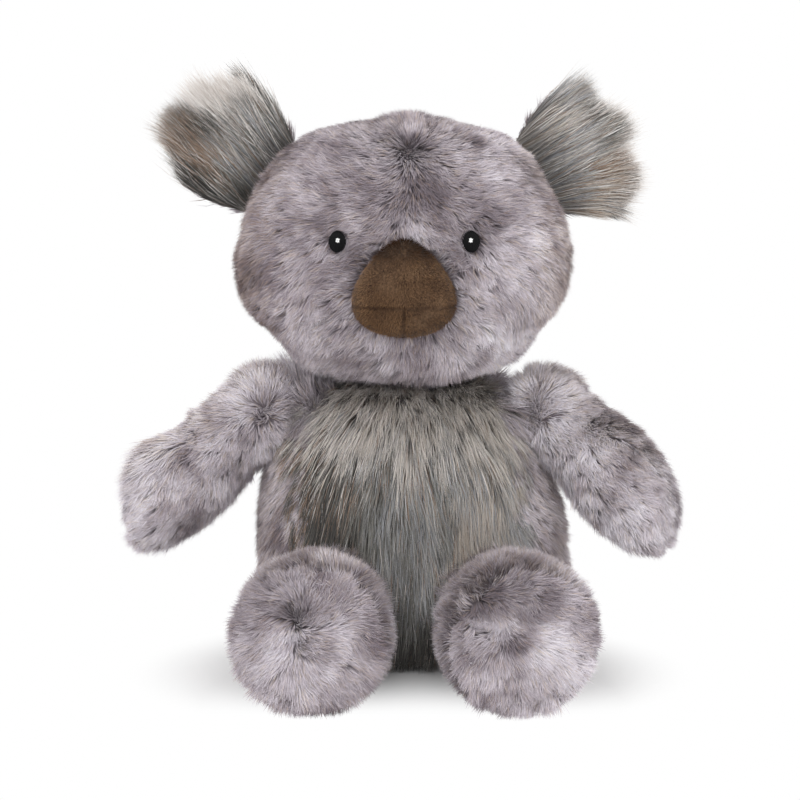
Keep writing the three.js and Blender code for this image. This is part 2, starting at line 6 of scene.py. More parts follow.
import bpy
import numpy as np
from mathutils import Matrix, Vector


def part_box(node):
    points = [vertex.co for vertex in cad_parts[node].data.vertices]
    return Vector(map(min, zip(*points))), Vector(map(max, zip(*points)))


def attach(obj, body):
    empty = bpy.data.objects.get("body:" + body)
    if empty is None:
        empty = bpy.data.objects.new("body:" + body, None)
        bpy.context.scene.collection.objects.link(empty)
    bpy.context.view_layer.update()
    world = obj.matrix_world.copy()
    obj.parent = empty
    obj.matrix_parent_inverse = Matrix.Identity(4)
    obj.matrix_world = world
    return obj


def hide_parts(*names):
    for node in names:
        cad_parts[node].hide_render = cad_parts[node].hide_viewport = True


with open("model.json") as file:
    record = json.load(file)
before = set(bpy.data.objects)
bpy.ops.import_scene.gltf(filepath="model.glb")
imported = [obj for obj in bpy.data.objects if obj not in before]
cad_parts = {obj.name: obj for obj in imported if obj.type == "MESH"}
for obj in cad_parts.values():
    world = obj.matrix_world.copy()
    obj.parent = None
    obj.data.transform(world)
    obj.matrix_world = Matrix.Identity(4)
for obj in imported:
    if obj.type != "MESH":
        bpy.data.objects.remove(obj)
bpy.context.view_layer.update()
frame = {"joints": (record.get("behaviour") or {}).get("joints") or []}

mm = 0.001
joints = {joint["name"]: np.array(joint["pos_m"]) for joint in frame["joints"]}
up = np.array([0.0, 0.0, 1.0])
sides = {"left": -1, "right": 1}
quickShare = 1.0  # how much of the hair is grown while trying things


# Plain mathematics on whole arrays


# Each row divided by its length.
def unit(vectors):
    return vectors / np.maximum(np.linalg.norm(vectors, axis=-1, keepdims=True), 1e-12)


# The products of two rows of vectors.
def dot(a, b):
    return (a * b).sum(-1, keepdims=True)


# How far each point lies from a place.
def gapTo(points, place):
    return np.linalg.norm(points - place, axis=-1)


# Rows of vectors from three coordinates, each an array or one number.
def vectors(x, y, z):
    return np.stack(np.broadcast_arrays(x, y, z), axis=-1)


# Points that lie so far along each of three axes from a place.
def fromAxes(place, axes, x, y, z):
    return place + axes[0] * x[..., None] + axes[1] * y[..., None] + axes[2] * z[..., None]


# 0 before the first value and 1 after the second, with an easy curve between them.
def ease(low, high, value):
    t = np.clip((value - low) / (high - low), 0, 1)
    return t * t * (3 - 2 * t)


# The sum of a table's rows. A row is an amount, times what its steps say: a step of a name and two limits is
# the eased way of that measure between them, and a name alone is the measure itself. Places are in mm.
def tableSum(rows, measures):
    total = 0.0
    for amount, *steps in rows:
        for step in steps:
            plain = isinstance(step, str)
            amount = amount * (measures[step] if plain else ease(*step[1:], measures[step[0]]))
        total = total + amount
    return total


# A random number from -1 to 1 for each hair.
def eitherWay(rng, count):
    return rng.random(count) * 2 - 1


# Another number from 0 to 1 for each lock: the fraction left of a multiple of its own.
def shareAgain(chance, times):
    return np.modf(chance * times)[0]


# A repeatable number from 0 to 1 for each whole-number cell: its coordinates times three large odd numbers,
# mixed by shifts and one more product.
def cellChance(cells, seed):
    mixed = cells[..., 0] * 73856093 ^ cells[..., 1] * 19349663 ^ cells[..., 2] * 83492791 ^ seed * 26544357
    mixed = (mixed ^ (mixed >> 13)) * 1274126177
    mixed ^= mixed >> 17
    return (mixed & 0xFFFFFF) / 0xFFFFFF


# Smooth noise from 0 to 1: the chances of the eight cell corners around a point, blended by eased distances.
def smoothNoise(points, size, seed):
    place = points / size + 37.5  # keeps the cells' borders off the toy's middle
    cell = np.floor(place).astype(np.int64)
    t = place - cell
    t = t * t * (3 - 2 * t)
    total = np.zeros(len(points))
    for corner in np.ndindex(2, 2, 2):
        step = np.array(corner)
        weight = np.where(step == 1, t, 1 - t).prod(axis=1)
        total += weight * cellChance(cell + step, seed)
    return total


# Three smooth noises from -1 to 1, as a vector field.
def driftField(points, size, seed):
    return np.stack([smoothNoise(points, size, seed + k) for k in range(3)], axis=-1) * 2 - 1


# The nearest lock of hair to each point: one centre is strewn in every cell, and the nearest of the 27 cells
# around the point wins. It comes back with a number from 0 to 1 that the whole lock shares.
def nearestLock(points, size, seed):
    cell = np.floor(points / size).astype(np.int64)
    best = np.full(len(points), np.inf)
    centre = np.zeros_like(points)
    chance = np.zeros(len(points))
    for shift in np.ndindex(3, 3, 3):
        near = cell + np.array(shift) - 1
        strewn = np.stack([cellChance(near, seed + k) for k in range(3)], axis=-1)
        place = (near + strewn) * size
        gap = ((points - place) ** 2).sum(axis=1)
        closer = gap < best
        best[closer] = gap[closer]
        centre[closer] = place[closer]
        chance[closer] = cellChance(near[closer], seed + 7)
    return centre, chance


# Surfaces


# The rows of a profile joined by a smooth curve: a cubic between each two rows, whose slope at a row is the
# weighted mean of the chords either side. An end closed on the axis is mirrored there. Its rows come back
# evenly spaced along the curve, their place along the axis first.
def smoothProfile(rows, openStart=False, steps=1500):
    rows = np.array(rows, float)
    mirror = np.array([1.0] + [-1.0] * (rows.shape[1] - 1))
    first = 2 * rows[0] - rows[1] if openStart else rows[1] * mirror
    knots = np.vstack([first, rows, rows[-2] * mirror])
    chord = np.linalg.norm(np.diff(knots[:, :2], axis=0), axis=1)[:, None]
    slope = np.diff(knots, axis=0) / chord
    slope = (slope[:-1] * chord[1:] + slope[1:] * chord[:-1]) / (chord[:-1] + chord[1:])
    at = np.concatenate([[0], np.cumsum(chord[1:-1, 0])])
    wanted = np.linspace(0, at[-1], steps)
    k = np.clip(np.searchsorted(at, wanted, side="right") - 1, 0, len(rows) - 2)
    h = (at[k + 1] - at[k])[:, None]
    s = (wanted - at[k])[:, None] / h
    start = (2 * s**3 - 3 * s**2 + 1) * rows[k] + (s**3 - 2 * s**2 + s) * h * slope[k]
    return start + (3 * s**2 - 2 * s**3) * rows[k + 1] + (s**3 - s**2) * h * slope[k + 1]


# A profile's columns at shares t of its way, read between its rows.
def alongProfile(profile, t):
    places = np.linspace(0, 1, len(profile))
    return [np.interp(t, places, profile[:, column]) for column in range(profile.shape[1])]


# The radius of a squared oval of half width 1 in the direction of an angle: the inverse root of the sum of
# the powers of its cosine and sine.
def ovalRadius(angle, square):
    return (np.abs(np.cos(angle)) ** square + np.abs(np.sin(angle)) ** square) ** (-1 / square)


# A surface's outward normals: the cross product of small steps around it and along it.
def normalsOf(surface, t, a):
    step = 0.002
    along = surface(np.minimum(t + step, 1), a) - surface(np.maximum(t - step, 0), a)
    around = surface(t, a + step) - surface(t, a - step)
    return unit(np.cross(around, along))


# Places spread evenly over a surface, or as thickly as the weight says: the area of each cell of a fine grid
# is added up in turn, and even steps along that sum, each a little off, pick the cells.
def scatter(surface, count, seed, weight=None):
    rng = np.random.default_rng(seed)
    rows, columns = 260, 320
    t, a = np.meshgrid((np.arange(rows) + 0.5) / rows, (np.arange(columns) + 0.5) / columns * 2 * np.pi,
                       indexing="ij")
    t, a = t.ravel(), a.ravel()
    half = 0.5 / rows
    turn = np.pi / columns
    area = np.linalg.norm(np.cross(surface(t + half, a) - surface(t - half, a),
                                   surface(t, a + turn) - surface(t, a - turn)), axis=1)
    if weight is not None:
        area = area * weight(surface(t, a), normalsOf(surface, t, a))
    total = np.cumsum(area)
    cell = np.searchsorted(total, (np.arange(count) + rng.random(count)) / count * total[-1])
    cell = np.clip(cell, 0, len(t) - 1)
    t = t[cell] + (rng.random(count) - 0.5) / rows
    a = a[cell] + (rng.random(count) - 0.5) * 2 * turn
    return surface(t, a), normalsOf(surface, t, a)


# Meshes


# A mesh becomes a piece: it gets the material of its finish, which is a material and a slot, and rides on a
# body.
def newPiece(name, mesh, finish, body):
    material, slot = finish
    piece = bpy.data.objects.new(name, mesh)
    bpy.context.scene.collection.objects.link(piece)
    mesh.materials.append(material)
    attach(piece, body)
    return piece


# A mesh from corner places, the corners of its faces in one row, and how many corners each face has.
def newMesh(name, points, corners, sizes, uv=None):
    mesh = bpy.data.meshes.new(name)
    mesh.vertices.add(len(points))
    mesh.vertices.foreach_set("co", np.ascontiguousarray(points, dtype=np.float32).ravel())
    mesh.loops.add(len(corners))
    mesh.loops.foreach_set("vertex_index", corners.astype(np.int32))
    mesh.polygons.add(len(sizes))
    starts = np.concatenate([[0], np.cumsum(sizes)[:-1]])
    mesh.polygons.foreach_set("loop_start", starts.astype(np.int32))
    mesh.polygons.foreach_set("use_smooth", np.ones(len(sizes), bool))
    mesh.update(calc_edges=True)
    if uv is not None:
        layer = mesh.uv_layers.new(name="OFBake")
        layer.data.foreach_set("uv", uv.astype(np.float32).ravel())
    return mesh


# A closed skin over a surface: rings of points around it, each joined to the next, and one point at each end.
def skinMesh(name, surface, rows, columns, openStart):
    t = np.linspace(0, 1, rows + 1)[0 if openStart else 1:-1]
    a = np.arange(columns) / columns * 2 * np.pi
    grid, turn = np.meshgrid(t, a, indexing="ij")
    t, a = grid.ravel(), turn.ravel()
    points = lumpy(surface(t, a), normalsOf(surface, t, a))
    ends = surface(np.array([0.0, 0.0, 1.0]), np.array([0.0, np.pi, 0.0]))
    points = np.vstack([points, ends[:2].mean(axis=0), ends[2]])
    rings = len(grid)
    ring, step = np.meshgrid(np.arange(rings - 1), np.arange(columns), indexing="ij")
    ring, step = ring.ravel(), step.ravel()
    after = (step + 1) % columns
    quads = np.stack([ring * columns + step, ring * columns + after, (ring + 1) * columns + after,
                      (ring + 1) * columns + step], axis=1)
    step = np.arange(columns)
    after = (step + 1) % columns
    first = np.stack([np.full(columns, rings * columns), after, step], axis=1)
    top = (rings - 1) * columns
    last = np.stack([np.full(columns, rings * columns + 1), top + step, top + after], axis=1)
    corners = np.concatenate([quads.ravel(), first.ravel(), last.ravel()])
    sizes = np.concatenate([np.full(len(quads), 4), np.full(2 * columns, 3)])
    return newMesh(name, points, corners, sizes)


# Materials


# A colour given in the usual numbers from 0 to 255, as light.
def colour(red, green, blue):
    share = np.array([red, green, blue]) / 255
    light = np.where(share <= 0.04045, share / 12.92, ((share + 0.055) / 1.055) ** 2.4)
    return (*light, 1.0)


# A plain finish on Blender's own shader.
def newMaterial(name, roughness, sheen, specular):
    material = bpy.data.materials.new(name)
    material.use_nodes = True
    shader = material.node_tree.nodes["Principled BSDF"]
    for socket, value in (("Roughness", roughness), ("Specular IOR Level", specular), ("Sheen Weight", sheen),
                          ("Sheen Roughness", 0.45)):
        shader.inputs[socket].default_value = value
    return material, material.node_tree, shader


# A node with its settings. Each input is linked to the socket that it is given, or else holds the value.
def addNode(tree, kind, inputs, **settings):
    node = tree.nodes.new(kind)
    for name, value in settings.items():
        setattr(node, name, value)
    for socket, value in inputs.items():
        if isinstance(value, bpy.types.NodeSocket):
            tree.links.new(value, node.inputs[socket])
        else:
            node.inputs[socket].default_value = value
    return node.outputs


# A ramp of colours, given as places from 0 to 1 and their numbers.
def addRamp(tree, source, stops):
    node = tree.nodes.new("ShaderNodeValToRGB")
    elements = node.color_ramp.elements
    while len(elements) < len(stops):
        elements.new(0.5)
    for element, (place, tint) in zip(elements, stops):
        element.position = place
        element.color = colour(*tint)
    tree.links.new(source, node.inputs["Fac"])
    return node.outputs["Color"]


# Two colours blended by a share.
def addMix(tree, kind, share, a, b):
    return addNode(tree, "ShaderNodeMix", {0: share, 6: a, 7: b}, data_type="RGBA", blend_type=kind)[2]


# One sum of two values.
def addMath(tree, kind, a, b):
    return addNode(tree, "ShaderNodeMath", {0: a, 1: b}, operation=kind)[0]


# Noise on the piece's own coordinates, whose lumps have a size in metres.
def addNoise(tree, size, detail, distortion=0.0, stretch=(1, 1, 1)):
    place = addNode(tree, "ShaderNodeTexCoord", {})["Object"]
    place = addNode(tree, "ShaderNodeMapping", {"Vector": place, "Scale": stretch})["Vector"]
    return addNode(tree, "ShaderNodeTexNoise", {
        "Vector": place, "Scale": 1 / size, "Detail": detail, "Distortion": distortion})["Fac"]


# A bump so many metres deep.
def addBump(tree, shader, height, depth):
    bump = addNode(tree, "ShaderNodeBump", {"Strength": 1.0, "Distance": depth, "Height": height})
    tree.links.new(bump["Normal"], shader.inputs["Normal"])


# Hair is dyed along two ways of its own map: across it lies its dye, and up it the way from root to tip.
def hairMaterial(name, look):
    material, tree, shader = newMaterial(name, look["roughness"], look["sheen"], look["specular"])
    uv = addNode(tree, "ShaderNodeUVMap", {}, uv_map="OFBake")["UV"]
    parts = addNode(tree, "ShaderNodeSeparateXYZ", {"Vector": uv})
    lower, upper = (addRamp(tree, parts["X"], look[part]) for part in ("lower", "upper"))
    rise = addRamp(tree, parts["Y"], look["rise"])
    tree.links.new(addMix(tree, "MIX", rise, lower, upper), shader.inputs["Base Color"])
    return material


# Hair

hairForm = dict(
    standing=0.22,  # how much of its lean a hair keeps where there is no nap
    drawPower=1.3,  # the higher, the nearer to its tip a hair is drawn to its lock
    widths=(0.75, 1.0, 0.8, 0.55),  # shares of the ribbon's width, from the root up
    thinnest=0.7, widthSpread=0.6,  # shares of the coat's width, from hair to hair
    mapHalf=0.002,  # half the width of a ribbon on its map of dyes
)


# Every hair is a line that leaves its root near the skin's normal and bends towards the nap. Each lock turns
# the nap by an angle of its own, the more the weaker it is, and its hairs draw together towards the lock's
# middle, so that the pile parts between locks.
def combHair(roots, normals, nap, coat, seed, lengthShare=1.0):
    rng = np.random.default_rng(seed)
    count = len(roots)
    levels = coat["levels"]
    nap = nap + coat["swirl"] * driftField(roots, coat["swirlSize"], seed)
    nap = nap - dot(nap, normals) * normals
    force = np.clip(np.linalg.norm(nap, axis=1), 0, 1)
    nap = unit(nap)
    centre, chance = nearestLock(roots, coat["lockSize"], seed + 11)
    draw = centre - roots
    draw = (draw - dot(draw, normals) * normals) * coat["lockDraw"] * force[:, None]
    aside = np.cross(normals, nap)
    length = coat["length"] * lengthShare * (1 + coat["lengthSpread"] * eitherWay(rng, count))
    length = length * (1 + coat["lockSpread"] * (chance * 2 - 1))
    angle = (shareAgain(chance, 17.0) * 2 - 1) * (coat["lockTurn"] + coat["tousle"] * (1 - force) ** 2)
    nap, aside = (nap * np.cos(angle)[:, None] + aside * np.sin(angle)[:, None],
                  aside * np.cos(angle)[:, None] - nap * np.sin(angle)[:, None])
    sway = eitherWay(rng, count) * coat["sway"]
    standing = hairForm["standing"]
    line = [roots]
    for level in range(1, levels):
        share = (level - 0.5) / (levels - 1)
        lean = np.radians(coat["rootLean"] + (coat["tipLean"] - coat["rootLean"]) * share)
        lean = lean * (standing + (1 - standing) * force) * (1 + coat["leanSpread"] * eitherWay(rng, count))
        turned = unit(nap + aside * (sway * (0.5 + share))[:, None])
        step = normals * np.cos(lean)[:, None] + turned * np.sin(lean)[:, None]
        line.append(line[-1] + step * (length / (levels - 1))[:, None])
    line = np.array(line)
    pull = (np.arange(levels) / (levels - 1)) ** hairForm["drawPower"]
    line += pull[:, None, None] * draw[None]
    return line, chance


# Hairs as ribbons: two corners either side of the line at each level but the last, where they meet in a
# point. Across is the hair's direction crossed with the skin's normal, rolled by a random angle.
def ribbonHair(line, normals, width, roll, dye, seed):
    rng = np.random.default_rng(seed)
    levels, count = line.shape[:2]
    way = unit(np.gradient(line, axis=0))
    flat = unit(np.cross(way, normals[None]))
    raised = np.cross(flat, way)
    roll = eitherWay(rng, count)[None, :, None] * roll
    across = flat * np.cos(roll) + raised * np.sin(roll)
    taper = np.array(hairForm["widths"])[: levels - 1]
    half = across[:-1] * (taper[:, None] * width[None] / 2)[..., None]
    pairs = np.stack([line[:-1] - half, line[:-1] + half], axis=1).reshape(-1, count, 3)
    points = np.concatenate([pairs, line[-1:]]).transpose(1, 0, 2).reshape(-1, 3)
    each = 2 * (levels - 1) + 1
    ladder = [corner for k in range(levels - 2) for corner in (2 * k, 2 * k + 1, 2 * k + 3, 2 * k + 2)]
    ladder = np.array(ladder + [each - 3, each - 2, each - 1])
    corners = (ladder[None] + each * np.arange(count)[:, None]).ravel()
    sizes = np.tile(np.array([4] * (levels - 2) + [3]), count)
    aside = np.where(ladder == each - 1, 0, np.where(ladder % 2 == 0, -1, 1)) * hairForm["mapHalf"]
    rise = np.where(ladder == each - 1, levels - 1, ladder // 2) / (levels - 1)
    u = np.clip(dye, 0.01, 0.99)[:, None] + aside[None]
    v = np.broadcast_to(np.clip(rise, 0.004, 0.996)[None], u.shape)
    return points, corners, sizes, np.stack([u, v], axis=-1).reshape(-1, 2)


# Grows a coat over a surface, as pieces of the given names. Weight says where it grows thickly, keep drops
# roots, stand sets the hairs up, after changes their lines and split gives each root its piece.
def growCoat(names, surface, count, seed, coat, finish, body, nap, dye, length=None, weight=None, keep=None,
             stand=None, after=None, split=None):
    roots, normals = scatter(surface, int(count * quickShare), seed, weight)
    if keep is not None:
        kept = keep(roots, normals)
        roots, normals = roots[kept], normals[kept]
    share = 1.0 if length is None else length(roots, normals)
    way = nap(roots, normals)
    if stand is not None:
        normals = stand(normals)
    line, chance = combHair(roots, normals, way, coat, seed, share)
    if after is not None:
        line = after(line)
    rng = np.random.default_rng(seed + 5)
    width = coat["width"] * (hairForm["thinnest"] + hairForm["widthSpread"] * rng.random(len(roots)))
    width = width / math.sqrt(quickShare)
    dyes = dye(roots, normals, chance, rng)
    part = np.zeros(len(roots), int) if split is None else split(roots)
    pieces = []
    for index, name in enumerate(names):
        chosen = part == index
        ribbons = ribbonHair(line[:, chosen], normals[chosen], width[chosen], coat["roll"], dyes[chosen],
                             seed + index)
        pieces.append(newPiece(name, newMesh(name, *ribbons), finish, body))
    print(f"{', '.join(names)}: {len(roots)} hairs")
    return pieces


# The dyes of the short pile: mauve from dark to light in the first half of the map, brown in the second.
pileLook = dict(
    roughness=0.75, sheen=0.25, specular=0.2,
    lower=[(0.0, (98, 89, 94)), (0.25, (146, 136, 142)), (0.48, (182, 173, 179)),
           (0.52, (100, 86, 82)), (0.75, (146, 130, 124)), (1.0, (182, 168, 162))],
    upper=[(0.0, (128, 117, 124)), (0.16, (182, 172, 179)), (0.3, (217, 209, 216)), (0.48, (244, 240, 246)),
           (0.52, (146, 126, 120)), (0.75, (206, 191, 185)), (1.0, (238, 229, 224))],
    rise=[(0.0, (0, 0, 0)), (0.3, (90, 90, 90)), (0.75, (255, 255, 255))],
)
# The dyes of the long fur: charcoal, grey green, blue grey, beige, brown, white.
furLook = dict(
    roughness=0.62, sheen=0.1, specular=0.2,
    lower=[(0.0, (56, 54, 52)), (0.3, (88, 86, 82)), (0.5, (102, 103, 107)), (0.66, (118, 113, 107)),
           (0.82, (88, 71, 59)), (1.0, (178, 175, 173))],
    upper=[(0.0, (74, 72, 70)), (0.3, (146, 144, 138)), (0.5, (170, 172, 178)), (0.66, (208, 200, 190)),
           (0.82, (148, 122, 102)), (1.0, (255, 253, 251))],
    rise=[(0.0, (0, 0, 0)), (0.25, (70, 70, 70)), (0.7, (255, 255, 255))],
)
pileFinish = hairMaterial("mauvePile", pileLook), "mauve_pile"
furFinish = hairMaterial("longFur", furLook), "long_fur"

groundLook = dict(
    roughness=0.9, sheen=0.2, specular=0.1, streak=4 * mm, knit=0.8 * mm, depth=0.6 * mm,
    pile=[(0.3, (116, 106, 111)), (0.5, (146, 136, 142)), (0.7, (168, 158, 164))],
    fur=[(0.3, (66, 64, 61)), (0.5, (90, 87, 83)), (0.7, (112, 107, 102))],
)


# The knitted ground that the hair is rooted in, in streaks of its darker dyes.
def groundMaterial(name, stops):
    look = groundLook
    material, tree, shader = newMaterial(name, look["roughness"], look["sheen"], look["specular"])
    streaks = addNoise(tree, look["streak"], 4, 1.0)
    tree.links.new(addRamp(tree, streaks, stops), shader.inputs["Base Color"])
    addBump(tree, shader, addNoise(tree, look["knit"], 2), look["depth"])
    return material


pileGround = groundMaterial("pileGround", groundLook["pile"]), "mauve_pile"
furGround = groundMaterial("furGround", groundLook["fur"]), "long_fur"


# What every table may read at a root: its place, and which way the skin faces there.
def plainMeasures(roots, normals):
    x, z = roots[:, 0] / mm, roots[:, 2] / mm
    return dict(x=x, z=z, aside=np.abs(x), sideways=np.abs(normals[:, 0]), backward=normals[:, 1],
                upward=normals[:, 2], downward=-normals[:, 2])


# The lengths of a coat, as shares that its table gives.
def lengthsOf(tables, measure):
    return lambda roots, normals: tableSum(tables["lengths"], measure(roots, normals))


# How far a short hair's shade follows its lock, wide patches, small flecks, dark spots and chance.
pileShades = dict(
    lock=0.24, patch=0.5, patchSize=13 * mm, fleck=0.4, fleckSize=6 * mm, dark=0.26, darkSize=7 * mm,
    darkLimits=(0.7, 0.86), hair=0.34,
)


# How a short hair's dye is chosen: a base, its table's tints and painted light and shade, its lock's shade,
# smooth noise of three sizes and a shade of its own. Brown hairs take the second half of the map.
def pileDye(base, tables, seed, measure=plainMeasures):
    def dye(roots, normals, chance, rng):
        shades = pileShades
        measures = measure(roots, normals)
        shade = base + shades["lock"] * (shareAgain(chance, 31.0) - 0.5)
        shade += shades["patch"] * (smoothNoise(roots, shades["patchSize"], seed) - 0.5)
        shade += shades["fleck"] * (smoothNoise(roots, shades["fleckSize"], seed + 9) - 0.5)
        shade += shades["hair"] * (rng.random(len(roots)) - 0.5)
        dark = smoothNoise(roots, shades["darkSize"], seed + 3)
        shade -= shades["dark"] * ease(*shades["darkLimits"], dark)
        # The table adds real tints and painted light and shade.
        shade += tableSum(tables.get("tintsAndPaintedLight", []), measures)
        brown = rng.random(len(roots)) < tableSum(tables["browns"], measures)
        return np.clip(shade, 0, 1) * 0.48 + 0.52 * brown
    return dye


# How far a long hair's dye follows its patch, its lock and chance, and the dyes of the rare ones.
furShades = dict(
    base=0.12, patch=0.64, patchSize=14 * mm, stretch=(1.6, 1.6, 0.6), lock=0.2, hair=0.4, limits=(0.02, 0.7),
    paleAbove=0.978, pale=0.88, paleSpread=0.1, brown=0.82, brownSpread=0.05,
)


# How a long hair's dye is chosen: families of locks by smooth patches and the table's tints and painted
# light, with a step of its own to either side. A few hairs are pale, and the table says how many are brown.
def furDye(tables, seed, measure):
    def dye(roots, normals, chance, rng):
        shades = furShades
        measures = measure(roots, normals)
        patch = smoothNoise(roots * np.array(shades["stretch"]), shades["patchSize"], seed)
        family = shades["base"] + shades["patch"] * patch + shades["lock"] * (shareAgain(chance, 23.0) - 0.5)
        family += tableSum(tables["tintsAndPaintedLight"], measures) + shades["hair"] * (rng.random(len(roots)) - 0.5)
        family = np.clip(family, *shades["limits"])
        chosen = rng.random(len(roots))
        pale = shades["pale"] + shades["paleSpread"] * rng.random(len(roots))
        brown = shades["brown"] + shades["brownSpread"] * (rng.random(len(roots)) - 0.5)
        family = np.where(chosen > shades["paleAbove"], pale, family)
        return np.where(chosen < tableSum(tables["browns"], measures), brown, family)
    return dye


# The short pile of the skins
shortCoat = dict(
    levels=3, length=8.2 * mm, lengthSpread=0.14, lockSpread=0.08, rootLean=38, tipLean=72, leanSpread=0.2,
    width=0.34 * mm, roll=0.5, swirl=0.6, swirlSize=17 * mm, lockSize=3.6 * mm, lockDraw=0.34, lockTurn=0.4,
    tousle=2.2, sway=0.35,
)
pileDepth = 5.5 * mm  # from the tips of the pile, where the solid skins end, down to its roots
clothForm = dict(lumpHeight=1.2 * mm, lumpSize=14 * mm, lumpSeed=5)


# Stuffing swells the cloth unevenly, in low lumps along its normals.
def lumpy(points, normals):
    lumps = smoothNoise(points, clothForm["lumpSize"], clothForm["lumpSeed"])[:, None] - 0.5
    return points + normals * lumps * clothForm["lumpHeight"]


# Stands for the solids of a stuffed form: its cloth, drawn tight by the stuffing.
def clothPiece(name, surface, body, finish, replaced, openStart=False, rows=52, columns=72):
    piece = newPiece(name, skinMesh(name, surface, rows, columns, openStart), finish, body)
    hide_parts(*replaced)
    return piece


# Body

bodyForm = dict(
    height=114.7 * mm, halfWidth=64.5 * mm, front=48.5 * mm, back=42 * mm, lean=5 * mm, square=2.3,
    count=112000, bare={"arm": 10 * mm, "leg": 19 * mm}, bareUnder=14 * mm, bareInside=4 * mm,
)
bodyShares = [
    (0, 0.66, 0.62, 0.66), (0.035, 0.84, 0.81, 0.85), (0.105, 0.95, 0.93, 0.96), (0.21, 1.0, 0.99, 1.0),
    (0.35, 1.0, 1.0, 1.0), (0.49, 0.985, 0.99, 0.985), (0.63, 0.94, 0.95, 0.95), (0.77, 0.875, 0.87, 0.88),
    (0.865, 0.82, 0.76, 0.78), (0.925, 0.765, 0.63, 0.67), (0.96, 0.66, 0.47, 0.51), (0.98, 0.48, 0.27, 0.3),
    (1, 0, 0, 0),
]
# The body's tints are painted light and shade: lighter in the fold beside the neck, against the head's shade,
# and darker where the skin faces sideways and towards the floor.
bodyTables = dict(
    tintsAndPaintedLight=[(0.3, "beside"), (-0.1, ("sideways", 0.5, 0.95)), (-0.12, ("z", 30, 0))],
    browns=[(0.12,), (0.3, ("sideways", 0.4, 1))],
    lengths=[(1.0,), (1.5, "beside")],
)


# A trunk of squared ovals: its half width, front and back follow a smooth profile, and its middle is given.
def trunkSurface(shares, form, grow, base, middle, openStart=False):
    height = form["height"] + 2 * grow
    sizes = np.array([height, form["halfWidth"] + grow, form["front"] + grow, form["back"] + grow])
    profile = smoothProfile(np.array(shares) * sizes, openStart)

    def surface(t, a):
        z, wide, front, back = alongProfile(profile, t)
        radius = ovalRadius(a, form["square"])
        deep = np.where(np.sin(a) < 0, front, back)
        x = form.get("lean", 0) * (1 - z / height) + wide * radius * np.cos(a)
        return np.stack([x, middle + deep * radius * np.sin(a), base + z - grow], axis=-1)

    return surface


bodySkin = trunkSurface(bodyShares, bodyForm, -pileDepth, 0, 0, True)
bellyOutline = [(0.055, 0), (0.14, 0.24), (0.3, 0.5), (0.46, 0.66), (0.64, 0.66), (0.82, 0.62), (0.93, 0.52),
                (1.0, 0.3)]  # height and half width of the long fur's panel, as shares of the body's


# How far a point of the front lies inside the belly's panel, in metres across.
def insideBelly(points):
    height = points[:, 2] / bodyForm["height"]
    heights, widths = np.array(bellyOutline).T
    half = np.interp(height, heights, widths, left=-0.2) * bodyForm["halfWidth"]
    return np.where(points[:, 1] < 0, half - np.abs(points[:, 0] - bodyForm["lean"] / 2), -1.0)


# Nothing of the coat goes below the face that the toy rests on: a hair that would is made shorter.
def onTheFloor(line):
    lowest = 0.3 * mm
    root, tip = line[0, :, 2], line[-1, :, 2]
    share = np.clip((root - lowest) / np.maximum(root - tip, 0.01 * mm), 0.2, 1)
    line = line[0] + (line - line[0]) * np.where(tip < lowest, share, 1)[None, :, None]
    line[..., 2] = np.maximum(line[..., 2], lowest)
    return line


# How far the pile stands up into the fold under the head, beside and behind the neck.
def besideNeck(points):
    high = ease(0.8, 0.9, points[:, 2] / bodyForm["height"])
    wide = ease(32 * mm, 40 * mm, np.abs(points[:, 0] - bodyForm["lean"] / 2))
    return high * np.maximum(wide, 0.45 * ease(2 * mm, 14 * mm, points[:, 1]))


# The body's short pile hangs down and a little outwards. None grows at the limbs, the seat or the belly.
def growBody():
    def measure(roots, normals):
        return dict(plainMeasures(roots, normals), beside=besideNeck(roots))

    def keep(roots, normals):
        hidden = insideBelly(roots) > bodyForm["bareInside"]
        hidden |= np.hypot(roots[:, 0], roots[:, 1]) < bodyForm["bareUnder"]
        for side in sides:
            for limb, radius in bodyForm["bare"].items():
                hidden |= gapTo(roots, joints[f"{side}_{limb}_raise"]) < radius
        return ~hidden

    def nap(roots, normals):
        way = vectors(0.45 * np.tanh(roots[:, 0] / (20 * mm)), 0.15 * np.sign(roots[:, 1]), -1.0)
        return way * (1 - 0.8 * besideNeck(roots)[:, None])

    def weight(points, normals):
        outside = np.where(insideBelly(points) > bodyForm["bareInside"], 0.0, 1.0)
        return outside * np.where(points[:, 1] > 15 * mm, 0.75, 1.0)

    clothPiece("bodyCloth", bodySkin, "body", pileGround,
               ["body_back_panel", "body_stuffing", "pellet_pouch"], openStart=True)
    growCoat(["bodyPileLeft", "bodyPileRight"], bodySkin, bodyForm["count"], 100, shortCoat, pileFinish,
             "body", nap, pileDye(0.52, bodyTables, 21, measure), lengthsOf(bodyTables, measure), weight,
             keep, after=onTheFloor, split=lambda p: (p[:, 0] > bodyForm["lean"]).astype(int))


